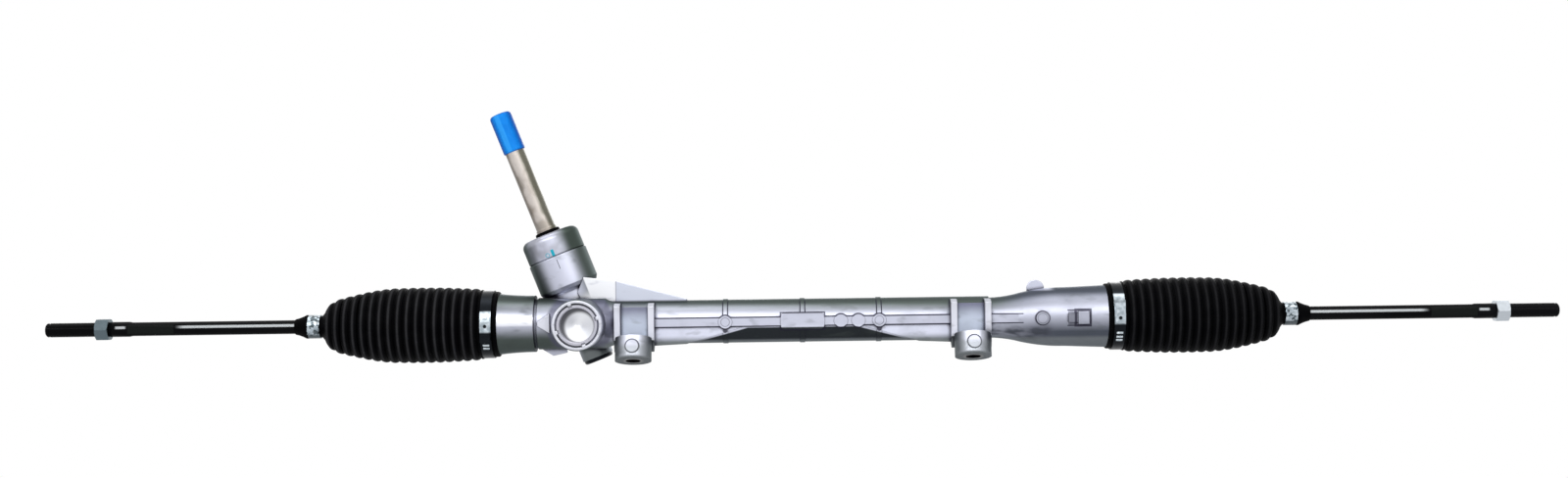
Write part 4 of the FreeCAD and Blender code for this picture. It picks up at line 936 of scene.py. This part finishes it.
FLOOR_COLOUR, GLOW_COLOUR = (0.86, 0.86, 0.87, 1), (0.97, 0.975, 0.98, 1)
FLOOR_GLOW, GLOW_FROM, GLOW_TO = 0.55, 0.5, 1.7


def floor_look():
    made = bpy.data.materials.new("pale_floor")
    made.use_nodes = True
    tree = made.node_tree
    base = tree.nodes["Principled BSDF"]
    base.inputs["Base Color"].default_value = FLOOR_COLOUR
    base.inputs["Roughness"].default_value = 0.8
    glow = tree.nodes.new("ShaderNodeEmission")
    glow.inputs["Color"].default_value = GLOW_COLOUR
    clear = tree.nodes.new("ShaderNodeBsdfTransparent")
    side_seen = tree.nodes.new("ShaderNodeNewGeometry")
    right, behind, _ = in_frame(Wire(tree.nodes.new("ShaderNodeTexCoord").outputs["Object"]), Matrix())
    far = length(right, behind).smooth(GLOW_FROM, GLOW_TO)
    shown = seen(tree) * (FLOOR_GLOW + far * (1 - FLOOR_GLOW))
    pale = blend(tree, shown.socket, base.outputs[0], glow.outputs[0])
    surface = blend(tree, side_seen.outputs["Backfacing"], pale, clear.outputs[0])
    tree.links.new(surface, tree.nodes["Material Output"].inputs["Surface"])
    return made


SWING_ROOM, FLOOR_REACH = 0.039, 6
sheet = bmesh.new()
bmesh.ops.create_grid(sheet, x_segments=1, y_segments=1, size=FLOOR_REACH)
bmesh.ops.translate(sheet, verts=sheet.verts, vec=(0, 0, cad_low.z - SWING_ROOM))
floor_data = bpy.data.meshes.new("floor")
sheet.to_mesh(floor_data)
floor = bpy.data.objects.new("floor", floor_data)
bpy.context.collection.objects.link(floor)
floor_data.materials.append(floor_look())
floor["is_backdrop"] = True
print("floor at", round(floor_data.vertices[0].co.z / MM, 2), "mm")

# %% The world
world = bpy.data.worlds.new("studio")
world.use_nodes = True
bpy.context.scene.world = world
tree = world.node_tree
room = tree.nodes["Background"]
room.inputs["Color"].default_value = (0.93, 0.95, 1.0, 1)
room.inputs["Strength"].default_value = 0.35
white = tree.nodes.new("ShaderNodeBackground")
white.inputs["Color"].default_value = (1, 1, 1, 1)
white.inputs["Strength"].default_value = 1.0
sky = blend(tree, seen(tree).socket, room.outputs[0], white.outputs[0])
tree.links.new(sky, tree.nodes["World Output"].inputs["Surface"])
print("world has", len(tree.nodes), "nodes")

# %% The lamps
LAMP_AIM = Vector((0, 0.028, 0.037))


def softbox(name, place, size, power):
    lamp = bpy.data.lights.new(name, "AREA")
    lamp.shape = "RECTANGLE"
    lamp.size, lamp.size_y = size
    lamp.energy = power
    stand = bpy.data.objects.new(name, lamp)
    bpy.context.collection.objects.link(stand)
    stand.location = place
    stand.rotation_euler = (LAMP_AIM - Vector(place)).to_track_quat("-Z", "Y").to_euler()
    print(name, power, "W")


softbox("key_front", (-0.1, -1.5, 0.42), (3.0, 0.7), 13)
softbox("strip_front", (0.0, -1.65, 0.5), (3.2, 0.04), 5)
softbox("key_above", (-0.1, -0.5, 1.4), (2.6, 0.6), 12)
softbox("back_rim", (0.2, 1.3, 0.9), (2.0, 0.5), 8)

# %% The camera
CAMERA_AWAY, AIM_UP, AIM_RIGHT, ROLL = 1.6, 0.0681, -0.0144, math.radians(-0.785)
LENS, SENSOR = 43.9, 36
camera_data = bpy.data.cameras.new("camera")
camera_data.lens = LENS
camera_data.sensor_width = SENSOR
camera = bpy.data.objects.new("camera", camera_data)
bpy.context.collection.objects.link(camera)
camera.matrix_world = (GEAR @ Matrix.Translation((AIM_RIGHT, -CAMERA_AWAY, AIM_UP))
                       @ Matrix.Rotation(math.pi / 2, 4, "X") @ Matrix.Rotation(ROLL, 4, "Z"))
bpy.context.scene.camera = camera
bpy.context.scene.view_settings.view_transform = "Standard"
print("camera at", [round(v, 3) for v in camera.location])

# %% [markdown]
# ## Sizes, and the end
#
# The box of the CAD model is printed at the start, and the box of the dressed model here.
# The dressed model has to stay the size of the CAD model.

low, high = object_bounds()
print("visual box, mm:", [round((h - l) / MM, 1) for l, h in zip(low, high)])
